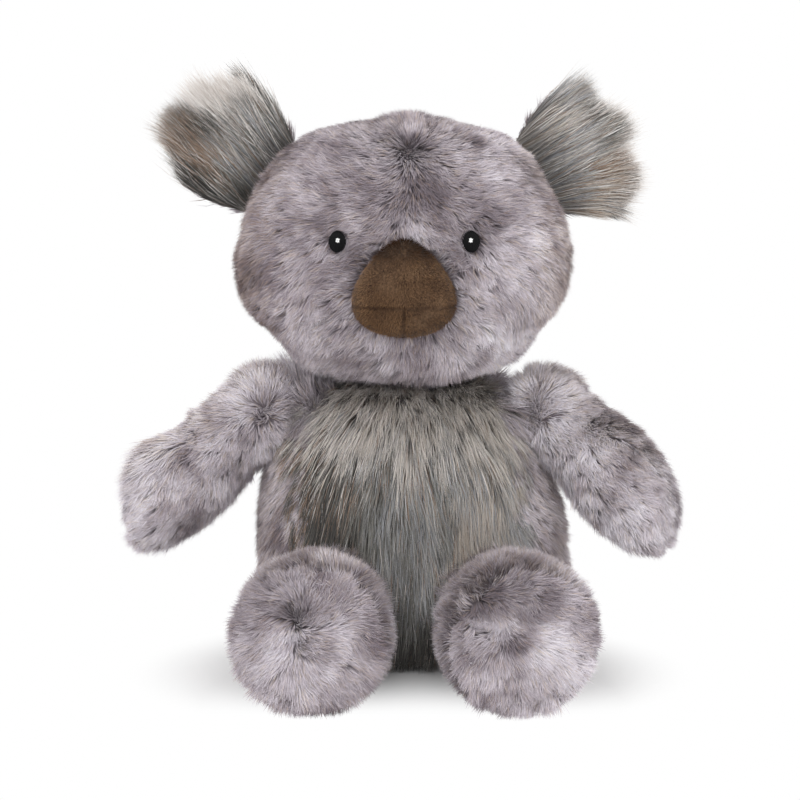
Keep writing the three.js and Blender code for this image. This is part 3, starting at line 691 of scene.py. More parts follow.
bellyCoat = dict(
    levels=4, length=25 * mm, lengthSpread=0.22, lockSpread=0.3, rootLean=60, tipLean=89, leanSpread=0.1,
    width=0.26 * mm, roll=0.8, swirl=0.24, swirlSize=18 * mm, lockSize=4.6 * mm, lockDraw=0.34, lockTurn=0.14,
    tousle=0.5, sway=0.12, count=34000,
)
bellyTables = dict(
    tintsAndPaintedLight=[(0.06, ("x", 12, 30), ("z", 30, 50)),
           (-0.44, ("x", -8, -26), ("z", 25, 50)),
           (-0.06, ("aside", 18, 8), ("z", 88, 76)),
           # Lighter at the top under the chin: painted light against the head's shade.
           (0.44, ("z", 94, 106)), (-0.42, ("z", 60, 26))],
    browns=[(0.03,), (0.3, ("inside", 14, 0), "leftward"), (0.12, ("z", 75, 95))],
    lengths=[(0.55,), (0.45, ("inside", 0, 14)), (-0.11, ("upward", 0.35, 0.7)),
             (-0.09, ("inside", 0, 14), ("upward", 0.35, 0.7))],
    # Pale and beige hairs under the chin: painted light against the head's shade.
    chinPaintedLight=[(0.1, ("z", 92, 104)), (0.7, ("upward", 0.3, 0.6))],
    spread=[(0.36, ("z", 28, 70), ("z", 116, 92)),
            (-0.5, ("z", 50, 20), ("z", 116, 92))],
    forwards=[(-0.4, ("z", 90, 108))],
)


# The belly's long fur hangs down, spreads, and draws in at its foot. Pale and beige hairs under the chin are
# painted light against the head's shade.
def growBelly():
    def measure(roots, normals):
        inside = insideBelly(roots) / mm
        return dict(plainMeasures(roots, normals), inside=inside, leftward=roots[:, 0] < 15 * mm)

    def nap(roots, normals):
        measures = measure(roots, normals)
        across = (roots[:, 0] - bodyForm["lean"] / 2) / bodyForm["halfWidth"]
        way = vectors(across * tableSum(bellyTables["spread"], measures),
                      tableSum(bellyTables["forwards"], measures), -1.0)
        return unit(way - dot(way, normals) * normals)

    def dye(roots, normals, chance, rng):
        # Under the chin, pale and beige hairs are painted light.
        chinPaintedLight = tableSum(bellyTables["chinPaintedLight"], measure(roots, normals))
        chosen = rng.random(len(roots))
        beige = 0.58 + 0.08 * rng.random(len(roots))
        tint = furDye(bellyTables, 41, measure)(roots, normals, chance, rng)
        return np.where(chosen < 0.4 * chinPaintedLight, 0.93, np.where(chosen < chinPaintedLight, beige, tint))

    # The fur starts a little outside its panel, and further outside under the chin.
    def weight(points, normals):
        over = 1 * mm + 7 * mm * ease(84 * mm, 94 * mm, points[:, 2])
        return np.where(insideBelly(points) > -over, 1.0, 0.0)

    def keep(roots, normals):
        return np.minimum(*(gapTo(roots, joints[f"{side}_leg_raise"]) for side in sides)) >= 17 * mm

    piece, = growCoat(["bellyFur"], bodySkin, bellyCoat["count"], 200, bellyCoat, furFinish, "body", nap, dye,
                      lengthsOf(bellyTables, measure), weight, keep, after=onTheFloor)
    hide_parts("belly_panel")


growBody()
growBelly()


# Head

neck = joints["neck_turn"]
headForm = dict(
    height=104.5 * mm, halfWidth=66.4 * mm, front=54.5 * mm, back=54 * mm, square=2.3, middle=-10 * mm,
    parting=2 * mm, crownX=3 * mm, tuftX=5 * mm, browLift=10 * mm, bridgeLift=24 * mm, cheekTop=0.6,
    noseHole=0.98, eyeHole=(3 * mm, 4 * mm), neckHole=22 * mm, neckHoleHeight=12 * mm, count=185000,
)
headShares = [
    (0, 0, 0, 0), (0.01, 0.42, 0.4, 0.4), (0.045, 0.59, 0.6, 0.58), (0.09, 0.71, 0.73, 0.71),
    (0.145, 0.81, 0.83, 0.81), (0.22, 0.9, 0.93, 0.9), (0.3, 0.965, 0.985, 0.96), (0.4, 1.0, 1.0, 0.99),
    (0.52, 0.995, 0.985, 1.0), (0.61, 0.965, 0.96, 0.985), (0.7, 0.885, 0.915, 0.945),
    (0.79, 0.79, 0.84, 0.88), (0.87, 0.705, 0.745, 0.79), (0.93, 0.62, 0.62, 0.66), (0.97, 0.44, 0.43, 0.46),
    (1, 0, 0, 0),
]
headSkin = trunkSurface(headShares, headForm, -pileDepth, neck[2], headForm["middle"])
headFace = trunkSurface(headShares, headForm, 0, neck[2], headForm["middle"])
# Among the head's tints, the top above 0.72 of its height is lighter, painted light over its self-shadowed
# pile. Where the skin faces sideways it is darker, painted shade, and its browner hairs there are painted for
# the light scattered at the silhouette.
headTables = dict(
    tintsAndPaintedLight=[(-0.22,), (0.03, ("aside", 12, 40), ("height", 0.4, 0.75)),
           (-0.2, ("crown", 26, 4), ("height", 0.6, 0.7), ("height", 0.86, 0.74), ("backward", 0.3, 0)),
           (0.04, ("height", 0.72, 0.8)), (-0.2, ("brow", 12, 4)), (0.3, ("bridge", 18, 8)),
           (0.15, ("x", 15, 40), ("height", 0.5, 0.75)), (-0.2, ("sideways", 0.5, 0.95)),
           (0.26, ("x", 10, 40), "cheek"), (0.12, ("height", 0.3, 0.14))],
    browns=[(0.14,), (0.5, ("sideways", 0.5, 1)), (0.15, ("height", 0.86, 0.97))],
    lengths=[(1.0,), (-0.3, ("eyes", 11, 6)), (-0.35, ("nose", 1.35, 1.0)), (0.2, ("height", 0.2, 0.06)),
             (-0.42, ("height", 0.8, 0.93)), (-0.4, ("height", 0.32, 0.2), ("sideways", 0.45, 0.8)),
             (0.5, ("height", 0.9, 1), ("tuft", 15, 8))],
)


# The middle of a CAD node's box.
def middleOf(node):
    low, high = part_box(node)
    return np.array((low + high) / 2)


noseForm = dict(
    halfWidth=18.3 * mm, halfHeight=18 * mm, proud=11 * mm, bed=7 * mm, taper=0.35,
    seamWidth=0.6 * mm, seamDepth=0.8 * mm, seamTop=-6 * mm, seamReach=14 * mm,
)
eyeForm = dict(
    halfWidth=3.3 * mm, halfHeight=4.4 * mm, dome=1.5 * mm, sink=1.2 * mm, edgeDrop=0.6 * mm,
    thread=0.44 * mm, threads=18, steps=14, sides=6, overlap=1.15, clear=0.2 * mm,
)
noseLow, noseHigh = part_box("nose_cover")
nosePlace = np.array([0, noseLow.y + noseForm["proud"], (noseLow.z + noseHigh.z) / 2])
eyePlaces = {side: middleOf(f"{side}_eye") for side in sides}


# The nose's outline: an oval that narrows upwards. 1 is on the outline, less is inside it.
def noseShare(points):
    z = (points[:, 2] - nosePlace[2]) / noseForm["halfHeight"]
    x = points[:, 0] / (noseForm["halfWidth"] * (1 - noseForm["taper"] * z))
    return np.hypot(x, z)


# An oval around an eye, seen from the front. 1 is on it, less is inside it.
def eyeShare(points, place, halfWidth, halfHeight):
    return np.hypot((points[..., 0] - place[0]) / halfWidth, (points[..., 2] - place[2]) / halfHeight)


# What the head's tables read besides: its height as a share, and how far the crown's dark patch, its tuft,
# the eyes, the brows, the bridge of the nose and the nose's outline lie.
def headMeasures(roots, normals):
    x, y, z = roots.T
    height = (z - neck[2]) / headForm["height"]
    eyes, brow = (np.minimum(*(gapTo(roots, place + lift * up) for place in eyePlaces.values())) / mm
                  for lift in (0, headForm["browLift"]))
    return dict(
        plainMeasures(roots, normals), height=height, cheek=height < headForm["cheekTop"],
        eyes=eyes, brow=brow,
        crown=np.abs(x - headForm["crownX"]) / mm, tuft=np.abs(x - headForm["tuftX"]) / mm,
        bridge=gapTo(roots, nosePlace + headForm["bridgeLift"] * up) / mm,
        nose=np.where(y < headForm["middle"], noseShare(roots), 9.0),
    )


# The head's short pile, in four pieces. None grows under the nose, the eyes and where the neck goes in.
def growHead():
    def keep(roots, normals):
        hidden = headMeasures(roots, normals)["nose"] < headForm["noseHole"]
        for place in eyePlaces.values():
            hidden |= (roots[:, 1] < headForm["middle"]) & (eyeShare(roots, place, *headForm["eyeHole"]) < 1)
        low = roots[:, 2] < neck[2] + headForm["neckHoleHeight"]
        hidden |= low & (np.hypot(roots[:, 0], roots[:, 1] - neck[1]) < headForm["neckHole"])
        return ~hidden

    # Down along the middle, turning outwards to both sides: a little on the cheeks, almost level on the brow.
    # It parts around the nose, and the back hangs down.
    def nap(roots, normals):
        x = roots[:, 0]
        height = (roots[:, 2] - neck[2]) / headForm["height"]
        high = ease(0.62, 0.8, height)
        side = np.tanh((x - headForm["parting"]) / (20 * mm - 11 * mm * high))
        turn = side * np.radians(28 + 52 * ease(0.3, 0.66, height))
        way = vectors(np.sin(turn), 0.1, -np.cos(turn))
        way = way * (1 - 0.2 * high * (1 - np.abs(side)))[:, None]
        fromNose = roots - nosePlace
        fromNose[:, 1] = 0
        share = ease(1.8, 1.2, noseShare(roots)) * ease(0.1, 0.6, -normals[:, 1]) * ease(0.6, 0.45, height)
        share = share[:, None]
        way = way * (1 - share) + (unit(fromNose) + [0, 0, -0.35]) * share
        back = ease(0.0, 0.7, normals[:, 1])[:, None]
        return way * (1 - back) + vectors(0.3 * side, 0, -1.0) * back

    # Hairs around an eye are pushed out to the edge of its oval.
    def aroundEyes(line):
        width, height = (eyeForm[half] + eyeForm["clear"] for half in ("halfWidth", "halfHeight"))
        for place in eyePlaces.values():
            share = eyeShare(line, place, width, height)
            push = np.where((share < 1) & (line[..., 1] < headForm["middle"]), 1 / np.maximum(share, 0.2), 1)
            line = place + (line - place) * vectors(push, 1.0, push)
        return line

    clothPiece("headCloth", headSkin, "head", pileGround,
               ["face_panel", "head_back_panel", "head_stuffing"])
    growCoat(["facePileLeft", "facePileRight", "headBackPileLeft", "headBackPileRight"], headSkin,
             headForm["count"], 300, shortCoat, pileFinish, "head", nap,
             pileDye(0.56, headTables, 61, headMeasures), lengthsOf(headTables, headMeasures),
             lambda p, n: 1.0 + 0.35 * ease(-0.2, 0.4, -n[:, 1]), keep, after=aroundEyes,
             split=lambda p: (p[:, 0] > 0) + 2 * (p[:, 1] > headForm["middle"] + 5 * mm))


growHead()


# Neck: the firm core that carries the head, in its own cloth

neckForm = dict(radius=13.7 * mm, count=7000, browns=[(0.2,)])


# A ball about the neck's joint.
def neckSurface(t, a):
    turn = np.pi * (1 - t)
    way = vectors(np.sin(turn) * np.cos(a), np.sin(turn) * np.sin(a), np.cos(turn))
    return neck + neckForm["radius"] * way


clothPiece("neckCloth", neckSurface, "neck", pileGround, ["neck_core"], rows=24, columns=36)
growCoat(["neckPile"], neckSurface, neckForm["count"], 350, shortCoat, pileFinish, "neck",
         lambda p, n: 0.4 * n - 0.6 * up, pileDye(0.5, neckForm, 63), keep=lambda p, n: np.abs(n[:, 2]) < 0.8)


# Nose

noseShares = [(-1, 0), (-0.86, 0.55), (-0.45, 0.88), (0, 1), (0.4, 0.94), (0.72, 0.76), (0.93, 0.45), (1, 0)]
velourLook = dict(
    roughness=0.85, sheen=0.1, specular=0.1,
    lower=[(0.0, (44, 28, 18)), (0.5, (90, 66, 47)), (1.0, (124, 96, 72))],
    upper=[(0.0, (60, 39, 25)), (0.5, (144, 110, 80)), (1.0, (198, 160, 123))],
    rise=[(0.0, (60, 60, 60)), (1.0, (255, 255, 255))],
)
velourNap = dict(
    levels=2, length=1.1 * mm, lengthSpread=0.35, lockSpread=0.1, rootLean=35, tipLean=60, leanSpread=0.4,
    width=0.18 * mm, roll=0.9, swirl=0.6, swirlSize=6 * mm, lockSize=1.6 * mm, lockDraw=0.15, lockTurn=0.5,
    tousle=1.5, sway=0.5, count=30000,
)
noseTables = dict(
    tintsAndPaintedLight=[(0.62,), (-0.66, ("height", 0.3, 0.9)), (-0.12, ("nose", 0.75, 1.0)),
           (-0.12, ("below", 0.5, -0.5)), (-0.3, ("seam", 0.9, 0.3))],
    lengths=[(1.0,), (0.9, ("height", 0.4, 0.95))],
)
noseLook = dict(
    patchSize=9 * mm, grainSize=0.9 * mm, grainDepth=0.3 * mm,
    patches=[(0.3, (66, 48, 36)), (0.5, (88, 67, 51)), (0.7, (108, 85, 66))],
    grain=[(0.3, (150, 150, 150)), (0.7, (255, 255, 255))],
)


# Rings of the narrowing oval, whose size follows a smooth profile from its bed to its tip. Where the T seam
# runs, the surface is drawn in by a narrow bell curve.
def noseSurface(t, a):
    form = noseForm
    out, size = alongProfile(noseProfile, t)
    high = form["halfHeight"] * size * np.sin(a)
    wide = form["halfWidth"] * size * np.cos(a) * (1 - form["taper"] * np.sin(a))
    below = ease(form["seamTop"] + 0.5 * mm, form["seamTop"] - 0.5 * mm, high)
    upright = np.exp(-((wide / form["seamWidth"]) ** 2)) * below
    bend = high - form["seamTop"] + 0.02 / mm * wide**2
    level = 0.6 * np.exp(-((bend / form["seamWidth"]) ** 2)) * ease(form["seamReach"], 2 * mm, np.abs(wide))
    drawn = form["seamDepth"] * np.maximum(upright, level) * (out > 0)
    return nosePlace + vectors(wide, drawn - out, high)


depths = np.array([noseForm["bed"] if out < 0 else noseForm["proud"] for out, size in noseShares])
noseProfile = smoothProfile(np.array(noseShares) * np.stack([depths, np.full(len(depths), 1.0)], axis=-1)
                            * np.array([1, noseForm["halfWidth"]]))
noseProfile[:, 1] /= noseForm["halfWidth"]


# The nose's velour: brown cloth under a short nap brushed downwards, darker at its top and along the seam.
def growNose():
    look = noseLook
    material, tree, shader = newMaterial("noseVelour", 0.85, 0.1, 0.1)
    patches = addRamp(tree, addNoise(tree, look["patchSize"], 3, 0.6), look["patches"])
    grain = addNoise(tree, look["grainSize"], 3)
    speckled = addMix(tree, "MULTIPLY", 1.0, patches, addRamp(tree, grain, look["grain"]))
    tree.links.new(speckled, shader.inputs["Base Color"])
    addBump(tree, shader, grain, look["grainDepth"])
    clothPiece("noseCover", noseSurface, "head", (material, "nose_velour"), ["nose_cover", "nose_stuffing"],
               rows=84, columns=110)

    def measure(roots, normals):
        rise = roots[:, 2] - nosePlace[2]
        below = (rise - noseForm["seamTop"]) / mm
        seam = np.minimum(np.where(below < 0, np.abs(roots[:, 0]) / mm, 99), np.abs(below))
        return dict(height=rise / noseForm["halfHeight"], below=below, seam=seam, nose=noseShare(roots))

    def dye(roots, normals, chance, rng):
        shade = 0.4 * (smoothNoise(roots, 7 * mm, 71) - 0.5) + 0.3 * (rng.random(len(roots)) - 0.5)
        return np.clip(shade + tableSum(noseTables["tintsAndPaintedLight"], measure(roots, normals)), 0, 1)

    growCoat(["noseNap"], noseSurface, velourNap["count"], 400, velourNap,
             (hairMaterial("velourNap", velourLook), "nose_velour"), "head",
             lambda p, n: vectors(0.3 * np.sign(p[:, 0]), 0, -1.0), dye, lengthsOf(noseTables, measure),
             keep=lambda p, n: p[:, 1] < nosePlace[1] + 3 * mm)


growNose()


# Eyes

sparkForm = dict(
    thread=0.7 * mm, length=2.0 * mm, lift=0.4 * mm, bow=0.25 * mm, sunkShare=0.4, places=6,
    turns=(-40, 5, 55),
)


# A frame on the face at an eye: its out way is the skin's normal at the nearest point of a fine grid.
def faceFrame(place):
    t, a = np.meshgrid(np.linspace(0.2, 0.8, 200), np.linspace(np.pi, 2 * np.pi, 300), indexing="ij")
    t, a = t.ravel(), a.ravel()
    points = headFace(t, a)
    nearest = np.argmin(((points - place) ** 2).sum(axis=1))[None]
    out = normalsOf(headFace, t[nearest], a[nearest])[0]
    across = unit(np.cross(up, out))
    return points[nearest[0]], across, np.cross(out, across), out


# Threads as tubes: a ring of points around every place of each line, square to the line, with both ends drawn
# to a point. The lines are an array of threads, places and coordinates.
def threadMesh(name, lines, radius, sideCount, out):
    threads, places = lines.shape[:2]
    way = unit(np.gradient(lines, axis=1))
    across = unit(np.cross(way, out))
    raised = np.cross(across, way)
    turn = (np.arange(sideCount) / sideCount * 2 * np.pi)[:, None]
    thin = np.ones(places)
    thin[[0, -1]] = 0.25
    rings = across[:, :, None] * np.cos(turn) + raised[:, :, None] * np.sin(turn)
    points = (lines[:, :, None] + rings * radius * thin[:, None, None]).reshape(-1, 3)
    thread, place, side = np.meshgrid(np.arange(threads), np.arange(places - 1), np.arange(sideCount),
                                      indexing="ij")
    low = (thread * places + place) * sideCount
    after = (side + 1) % sideCount
    quads = np.stack([low + side, low + sideCount + side, low + sideCount + after, low + after], axis=-1)
    start = (np.arange(threads) * places * sideCount)[:, None]
    caps = np.concatenate([start + np.arange(sideCount), start + (places - 1) * sideCount
                           + np.arange(sideCount)[::-1]], axis=1)
    corners = np.concatenate([quads.ravel(), caps.ravel()])
    sizes = np.concatenate([np.full(quads.size // 4, 4), np.full(2 * threads, sideCount)])
    return newMesh(name, points, corners, sizes)


# Shiny thread, streaked between two colours along its strands.
def threadFinish(name, dark, light, roughness, specular, slot):
    material, tree, shader = newMaterial(name, roughness, 0.0, specular)
    strands = addNoise(tree, 0.35 * mm, 3, 0.4, (1, 1, 0.2))
    tree.links.new(addRamp(tree, strands, [(0.35, dark), (0.7, light)]), shader.inputs["Base Color"])
    addBump(tree, shader, strands, 0.06 * mm)
    return material, slot


# Stitches in the place of a CAD node.
def sewThreads(name, lines, radius, out, finish, node):
    piece = newPiece(name, threadMesh(name, lines, radius, eyeForm["sides"], out), finish, "head")
    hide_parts(node)


# An eye is a dome of upright threads: their lengths follow an oval, and their height is the root of 1 less
# 0.8 times the square of the way out. Three short stitches cross near its top, towards the face's middle.
def sewEyes():
    black = threadFinish("blackThread", (5, 5, 6), (16, 16, 18), 0.45, 0.12, "black_thread")
    white = threadFinish("whiteThread", (222, 222, 220), (255, 255, 255), 0.5, 0.4, "white_thread")
    for side, sign in sides.items():
        place, across, above, out = faceFrame(eyePlaces[side])
        axes = across, above, out
        place = place - out * eyeForm["sink"]
        x = (np.linspace(-1, 1, eyeForm["threads"]) * (1 - 0.5 / eyeForm["threads"]))[:, None]
        s = np.linspace(-1, 1, eyeForm["steps"])[None]
        y = np.sqrt(1 - x**2) * s
        lift = eyeForm["dome"] * np.sqrt(np.clip(1 - 0.8 * (x**2 + y**2), 0, 1))
        lift = lift - eyeForm["edgeDrop"] * np.abs(s) ** 6
        lines = fromAxes(place, axes, x * eyeForm["halfWidth"], y * eyeForm["halfHeight"],
                         lift + eyeForm["sink"])
        sewThreads(f"{side}Eye", lines, eyeForm["thread"] / 2 * eyeForm["overlap"], out, black, f"{side}_eye")
        top = place + out * (eyeForm["dome"] + eyeForm["sink"] + sparkForm["thread"] * sparkForm["sunkShare"])
        top = top + above * sparkForm["lift"] - across * sparkForm["lift"] * sign
        turns = np.radians(sparkForm["turns"])[:, None]
        s = np.linspace(-1, 1, sparkForm["places"])[None]
        reach = sparkForm["length"] / 2 * s
        lines = fromAxes(top, axes, np.sin(turns) * reach, np.cos(turns) * reach, -sparkForm["bow"] * s**2)
        sewThreads(f"{side}EyeHighlight", lines, sparkForm["thread"] / 2, out, white, f"{side}_eye_highlight")
    print("eyes sewn")


sewEyes()


# Ears

earForm = dict(
    length=47 * mm, rootRadius=8 * mm, halfChord=21.5 * mm, turn=33, lean={"left": 8, "right": 24},
    square=2.6, shrink=4 * mm, short=22 * mm, sparse=0.16, flatShare=0.3, standShare=0.3,
    turns={"left": (-0.16, 0.02, -0.22), "right": (0.14, 0.42, 0.38)},
)
# How far the dense fur and then the few pale hairs reach, in mm: (down across the ear, out along it).
earReach = {
    "left": ([(-36, 6), (-33, 32), (-30, 35), (-28, 20), (-24, 26), (-16, 29), (-12, 30), (-8, 36), (-4, 47),
              (0, 50), (4, 44), (10, 36), (19, 22), (23, 14), (27, 0)],
             [(-36, 6), (-32, 33), (-24, 40), (-14, 47), (-4, 54), (4, 52), (12, 40), (21, 26), (26, 16),
              (30, 2)]),
    "right": ([(-28, 4), (-25, 20), (-22, 34), (-19, 41), (-16, 40), (-12, 31), (-6, 36), (0, 41), (6, 38),
               (11, 32), (17, 36), (25, 30), (31, 24), (36, 16), (41, 2)],
              [(-30, 4), (-26, 24), (-19, 45), (-12, 37), (-2, 46), (8, 43), (17, 40), (27, 35), (36, 26),
               (43, 4)]),
}
earShares = [(-0.17, 0.9, 0.55), (0.14, 1.08, 0.8), (0.32, 1.18, 0.95), (0.52, 1.18, 1.06),
             (0.72, 1.02, 0.96), (0.88, 0.72, 0.7), (0.97, 0.38, 0.36), (1, 0, 0)]
earCoat = dict(
    levels=4, length=30 * mm, lengthSpread=0.14, lockSpread=0.14, rootLean=62, tipLean=88, leanSpread=0.12,
    width=0.21 * mm, roll=0.9, swirl=0.15, swirlSize=14 * mm, lockSize=3.6 * mm, lockDraw=0.4, lockTurn=0.16,
    tousle=0.3, sway=0.14, count=23500,
)
earBackCoat = dict(shortCoat, length=9 * mm, count=8500)
earTints = {
    "left": [(-0.44,), (-0.1, ("across", -13, -17)), (-0.06, ("across", 6, 14)),
             (0.46, ("out", 10, 2), ("across", 14, 6)), (0.45, ("out", 15, 22))],
    "right": [(-0.52,), (0.16, ("out", 6, 20)), (0.62, ("out", 10, 2)),
              (0.34, ("across", -9, -18)), (0.35, ("out", 15, 22))],
}
earBrownSteps = ("across", 1, 6), ("across", 18, 14), ("out", -3, 3)
earBrowns = {"left": [(0.1,), (0.6, *earBrownSteps)], "right": [(0.1,), (0.42, *earBrownSteps)]}
earBackTables = dict(browns=[(0.3,)])


# An ear's own ways: down across it, through it, and out along it.
def earAxes(side):
    sign, turn, lean = sides[side], math.radians(earForm["turn"]), math.radians(earForm["lean"][side])
    out = np.array([sign * math.cos(turn), 0, math.sin(turn)]) * math.cos(lean)
    out = out + np.array([0, math.sin(lean), 0])
    down = np.array([sign * math.sin(turn), 0, -math.cos(turn)])
    return down, np.cross(out, down), out


# Squared ovals whose half chord and half thickness follow a smooth profile out along the ear.
def earSurface(side):
    down, across, out = earAxes(side)
    place = joints[f"{side}_ear_fold"]
    sizes = np.array([earForm["length"] - earForm["short"], earForm["halfChord"] - earForm["shrink"],
                      earForm["rootRadius"] - earForm["shrink"]])
    profile = smoothProfile([(-0.2, 0, 0) * sizes] + [row * sizes for row in np.array(earShares)])

    def surface(t, a):
        z, chord, thick = alongProfile(profile, t)
        radius = ovalRadius(a, earForm["square"])
        return fromAxes(place, (down, across, out), chord * radius * np.cos(a), thick * radius * np.sin(a), z)

    return surface


# An ear's cloth, its long fur in front and its short pile behind, combed outwards and turned by a curve.
def growEar(side):
    down, across, out = earAxes(side)
    place = joints[f"{side}_ear_fold"]
    skin = earSurface(side)

    def local(points):
        return (points - place) @ down, (points - place) @ out

    def measure(roots, normals):
        x, z = local(roots)
        return {"across": x / mm, "out": z / mm}

    def turnOf(x):
        first, second, third = earForm["turns"][side]
        x = x / earForm["halfChord"]
        return first + second * x + third * x**2

    def nap(roots, normals):
        return out + down * turnOf(local(roots)[0])[:, None]

    # The fur is combed as if the ear were flat, so that it fans out from one rim only: the left ear's upper
    # rim and the right ear's lower one.
    def stand(normals):
        level = dot(normals, down)
        kept = np.where(level * sides[side] > 0, 1.0, earForm["flatShare"])
        flat = normals - dot(normals, out) * out - (1 - kept) * level * down
        return unit(flat + np.sign(dot(normals, across)) * across * earForm["standShare"])

    # The few hairs that stand out beyond the dense fur, pale.
    def isSparse(roots):
        share = np.where(local(roots)[0] < -2 * mm, 2.0, 0.5) if side == "left" else 1.0
        return cellChance(np.floor(roots / (0.02 * mm)).astype(np.int64), 97) < earForm["sparse"] * share

    # Each hair ends at the ear's outline: its length is worked out again from where its tip comes to lie.
    def length(roots, normals):
        x, z = local(roots)
        slope = turnOf(x)
        along = 0.96 / np.hypot(1, slope)
        dense, pale = (np.array(rows, float).T * mm for rows in earReach[side])
        share = np.ones(len(roots))
        for _ in range(4):
            tip = x + share * earCoat["length"] * along * slope
            reach = np.where(isSparse(roots), np.interp(tip, *pale), np.interp(tip, *dense))
            share = 0.5 * share + 0.5 * np.clip((reach - z) / (along * earCoat["length"]), 0.12, 1)
        return share * (0.86 + 0.3 * (smoothNoise(roots, 6 * mm, 88) - 0.5))

    def dye(roots, normals, chance, rng):
        tables = dict(tintsAndPaintedLight=earTints[side], browns=earBrowns[side])
        tint = furDye(tables, 91, measure)(roots, normals, chance, rng)
        return np.where(isSparse(roots), 0.9 + 0.09 * rng.random(len(roots)), tint)

    # The coats thin out towards the root, and each towards the other's side.
    def weight(low, high, sign):
        return lambda p, n: ease(low, high, sign * n[:, 1]) * ease(-6 * mm, 2 * mm, local(p)[1])

    clothPiece(f"{side}EarCloth", skin, f"{side}_ear", furGround, [], rows=48, columns=64)
    front, = growCoat([f"{side}EarFur"], skin, earCoat["count"], 500 + sides[side], earCoat, furFinish,
                      f"{side}_ear", nap, dye, length, weight(-0.75, 0.0, -1), stand=stand)
    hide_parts(f"{side}_ear_front")
    back, = growCoat([f"{side}EarBackPile"], skin, earBackCoat["count"], 520 + sides[side], earBackCoat,
                     pileFinish, f"{side}_ear", nap, pileDye(0.42, earBackTables, 95), None,
                     weight(-0.1, 0.3, 1), stand=stand)
    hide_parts(f"{side}_ear_back")


for side in sides:
    growEar(side)


# Arms and legs

ballShare = 0.62  # how much of the half circle from pole to pole a limb's ball keeps


# Three axes whose third is a direction and whose second points upwards.
def aimed(direction):
    z = unit(direction)
    x = unit(np.cross(up, z))
    return x, np.cross(z, x), z


# A ball at the root, then the limb's own profile spun about its axis, bent by the square of the way along.
def limbSurface(place, axes, form, shares, bend, grow):
    x, y, z = axes
    ball = form["ball"] + grow
    turns = np.pi * ballShare * np.arange(1, 5) / 4
    rows = [(-ball, 0)] + [(-ball * math.cos(turn), ball * math.sin(turn)) for turn in turns]
    rows += [(along * (form["length"] + grow), around * (form["radius"] + grow)) for along, around in shares]
    profile = smoothProfile(rows + [(form["length"] + grow, 0)])
    start = -form["ball"] * math.cos(math.pi * ballShare)

    def surface(t, a):
        along, radius = alongProfile(profile, t)
        sag = -bend * (np.maximum(along - start, 0) / (form["length"] - start)) ** 2
        return fromAxes(place, axes, radius * np.cos(a), radius * np.sin(a) + sag, along)

    return surface


armForm = dict(
    length=72.5 * mm, ball=20 * mm, radius=21.5 * mm, droop={"left": 36, "right": 33},
    swing={"left": 12, "right": 34}, bend={"left": 8 * mm, "right": 10 * mm},
    parting=(51 * mm, -23 * mm, 102 * mm), base={"left": 0.71, "right": 0.78}, count=46000,
)
armShares = [(0.16, 0.84), (0.24, 0.82), (0.32, 0.88), (0.44, 0.96), (0.57, 1.0), (0.7, 0.95), (0.81, 0.84),
             (0.91, 0.66), (0.975, 0.4)]
# The arm's tints are painted shade and light: darker near the parting on the shoulder, where the pile opens,
# and lighter where the ball at its root faces upwards.
armTables = dict(
    tintsAndPaintedLight=[(-0.1, ("parting", 12, 3)), (-0.24, ("mottle", 0.5, 0.75)),
           (0.16, ("along", 8, -2), ("upward", 0, 0.6))],
    browns=[(0.16,), (0.25, ("upward", 0.3, 0.9))],
)
# The left hand's pile stands fuller past a crease on its upper side.
armLengths = {
    "left": [(1.0,), (0.8, ("along", 33, 41), ("along", 64, 52), ("upward", 0.2, 0.7)),
             (-0.5, ("along", 18, 26), ("along", 36, 29), ("upward", 0.2, 0.7)),
             (0.2, ("along", 50, 62), ("downward", 0.1, 0.6))],
    "right": [(1.0,)],
}


# An arm hangs by its droop and swings forwards. Its pile runs down along it from a parting on the shoulder.
def growArm(side):
    droop, swing = math.radians(armForm["droop"][side]), math.radians(armForm["swing"][side])
    level = np.array([sides[side] * math.cos(swing), -math.sin(swing), 0]) * math.cos(droop)
    axes = aimed(level - up * math.sin(droop))
    place = joints[f"{side}_arm_raise"]
    skin = limbSurface(place, axes, armForm, armShares, armForm["bend"][side], -pileDepth)
    parting = np.array(armForm["parting"]) * [sides[side], 1, 1]

    def measure(roots, normals):
        return dict(plainMeasures(roots, normals), along=(roots - place) @ axes[2] / mm,
                    parting=gapTo(roots, parting) / mm, mottle=smoothNoise(roots, 9 * mm, 83))

    def nap(roots, normals):
        gap = gapTo(roots, parting)[:, None]
        close = ease(26 * mm, 8 * mm, gap)
        away = unit(roots - parting) * close * ease(0, 14 * mm, gap)
        return away + (axes[2] + np.array([0, 0, -0.35])) * (1 - close)

    clothPiece(f"{side}ArmCloth", skin, f"{side}_arm", pileGround,
               [f"{side}_arm_skin", f"{side}_arm_stuffing"])
    growCoat([f"{side}ArmPile"], skin, armForm["count"], 600 + sides[side], shortCoat, pileFinish,
             f"{side}_arm", nap, pileDye(armForm["base"][side], armTables, 81 + sides[side], measure),
             lengthsOf({"lengths": armLengths[side]}, measure),
             keep=lambda p, n: (p - place) @ axes[2] > -13 * mm)


legForm = dict(
    length=64 * mm, ball=25 * mm, radius=30.5 * mm, yaw=7.5, soleRadius=23 * mm, soleDome=3 * mm,
    floorCut=0.5 * mm, floorGap=0.6 * mm, whorls={"left": (-5 * mm, 1 * mm), "right": (-11 * mm, 7 * mm)},
    count=38000, soleCount=22500, soleBase={"left": 0.45, "right": 0.56},
)
legShares = [(0.2, 0.74), (0.36, 0.8), (0.55, 0.91), (0.74, 0.99), (0.88, 1.0), (0.97, 0.93)]
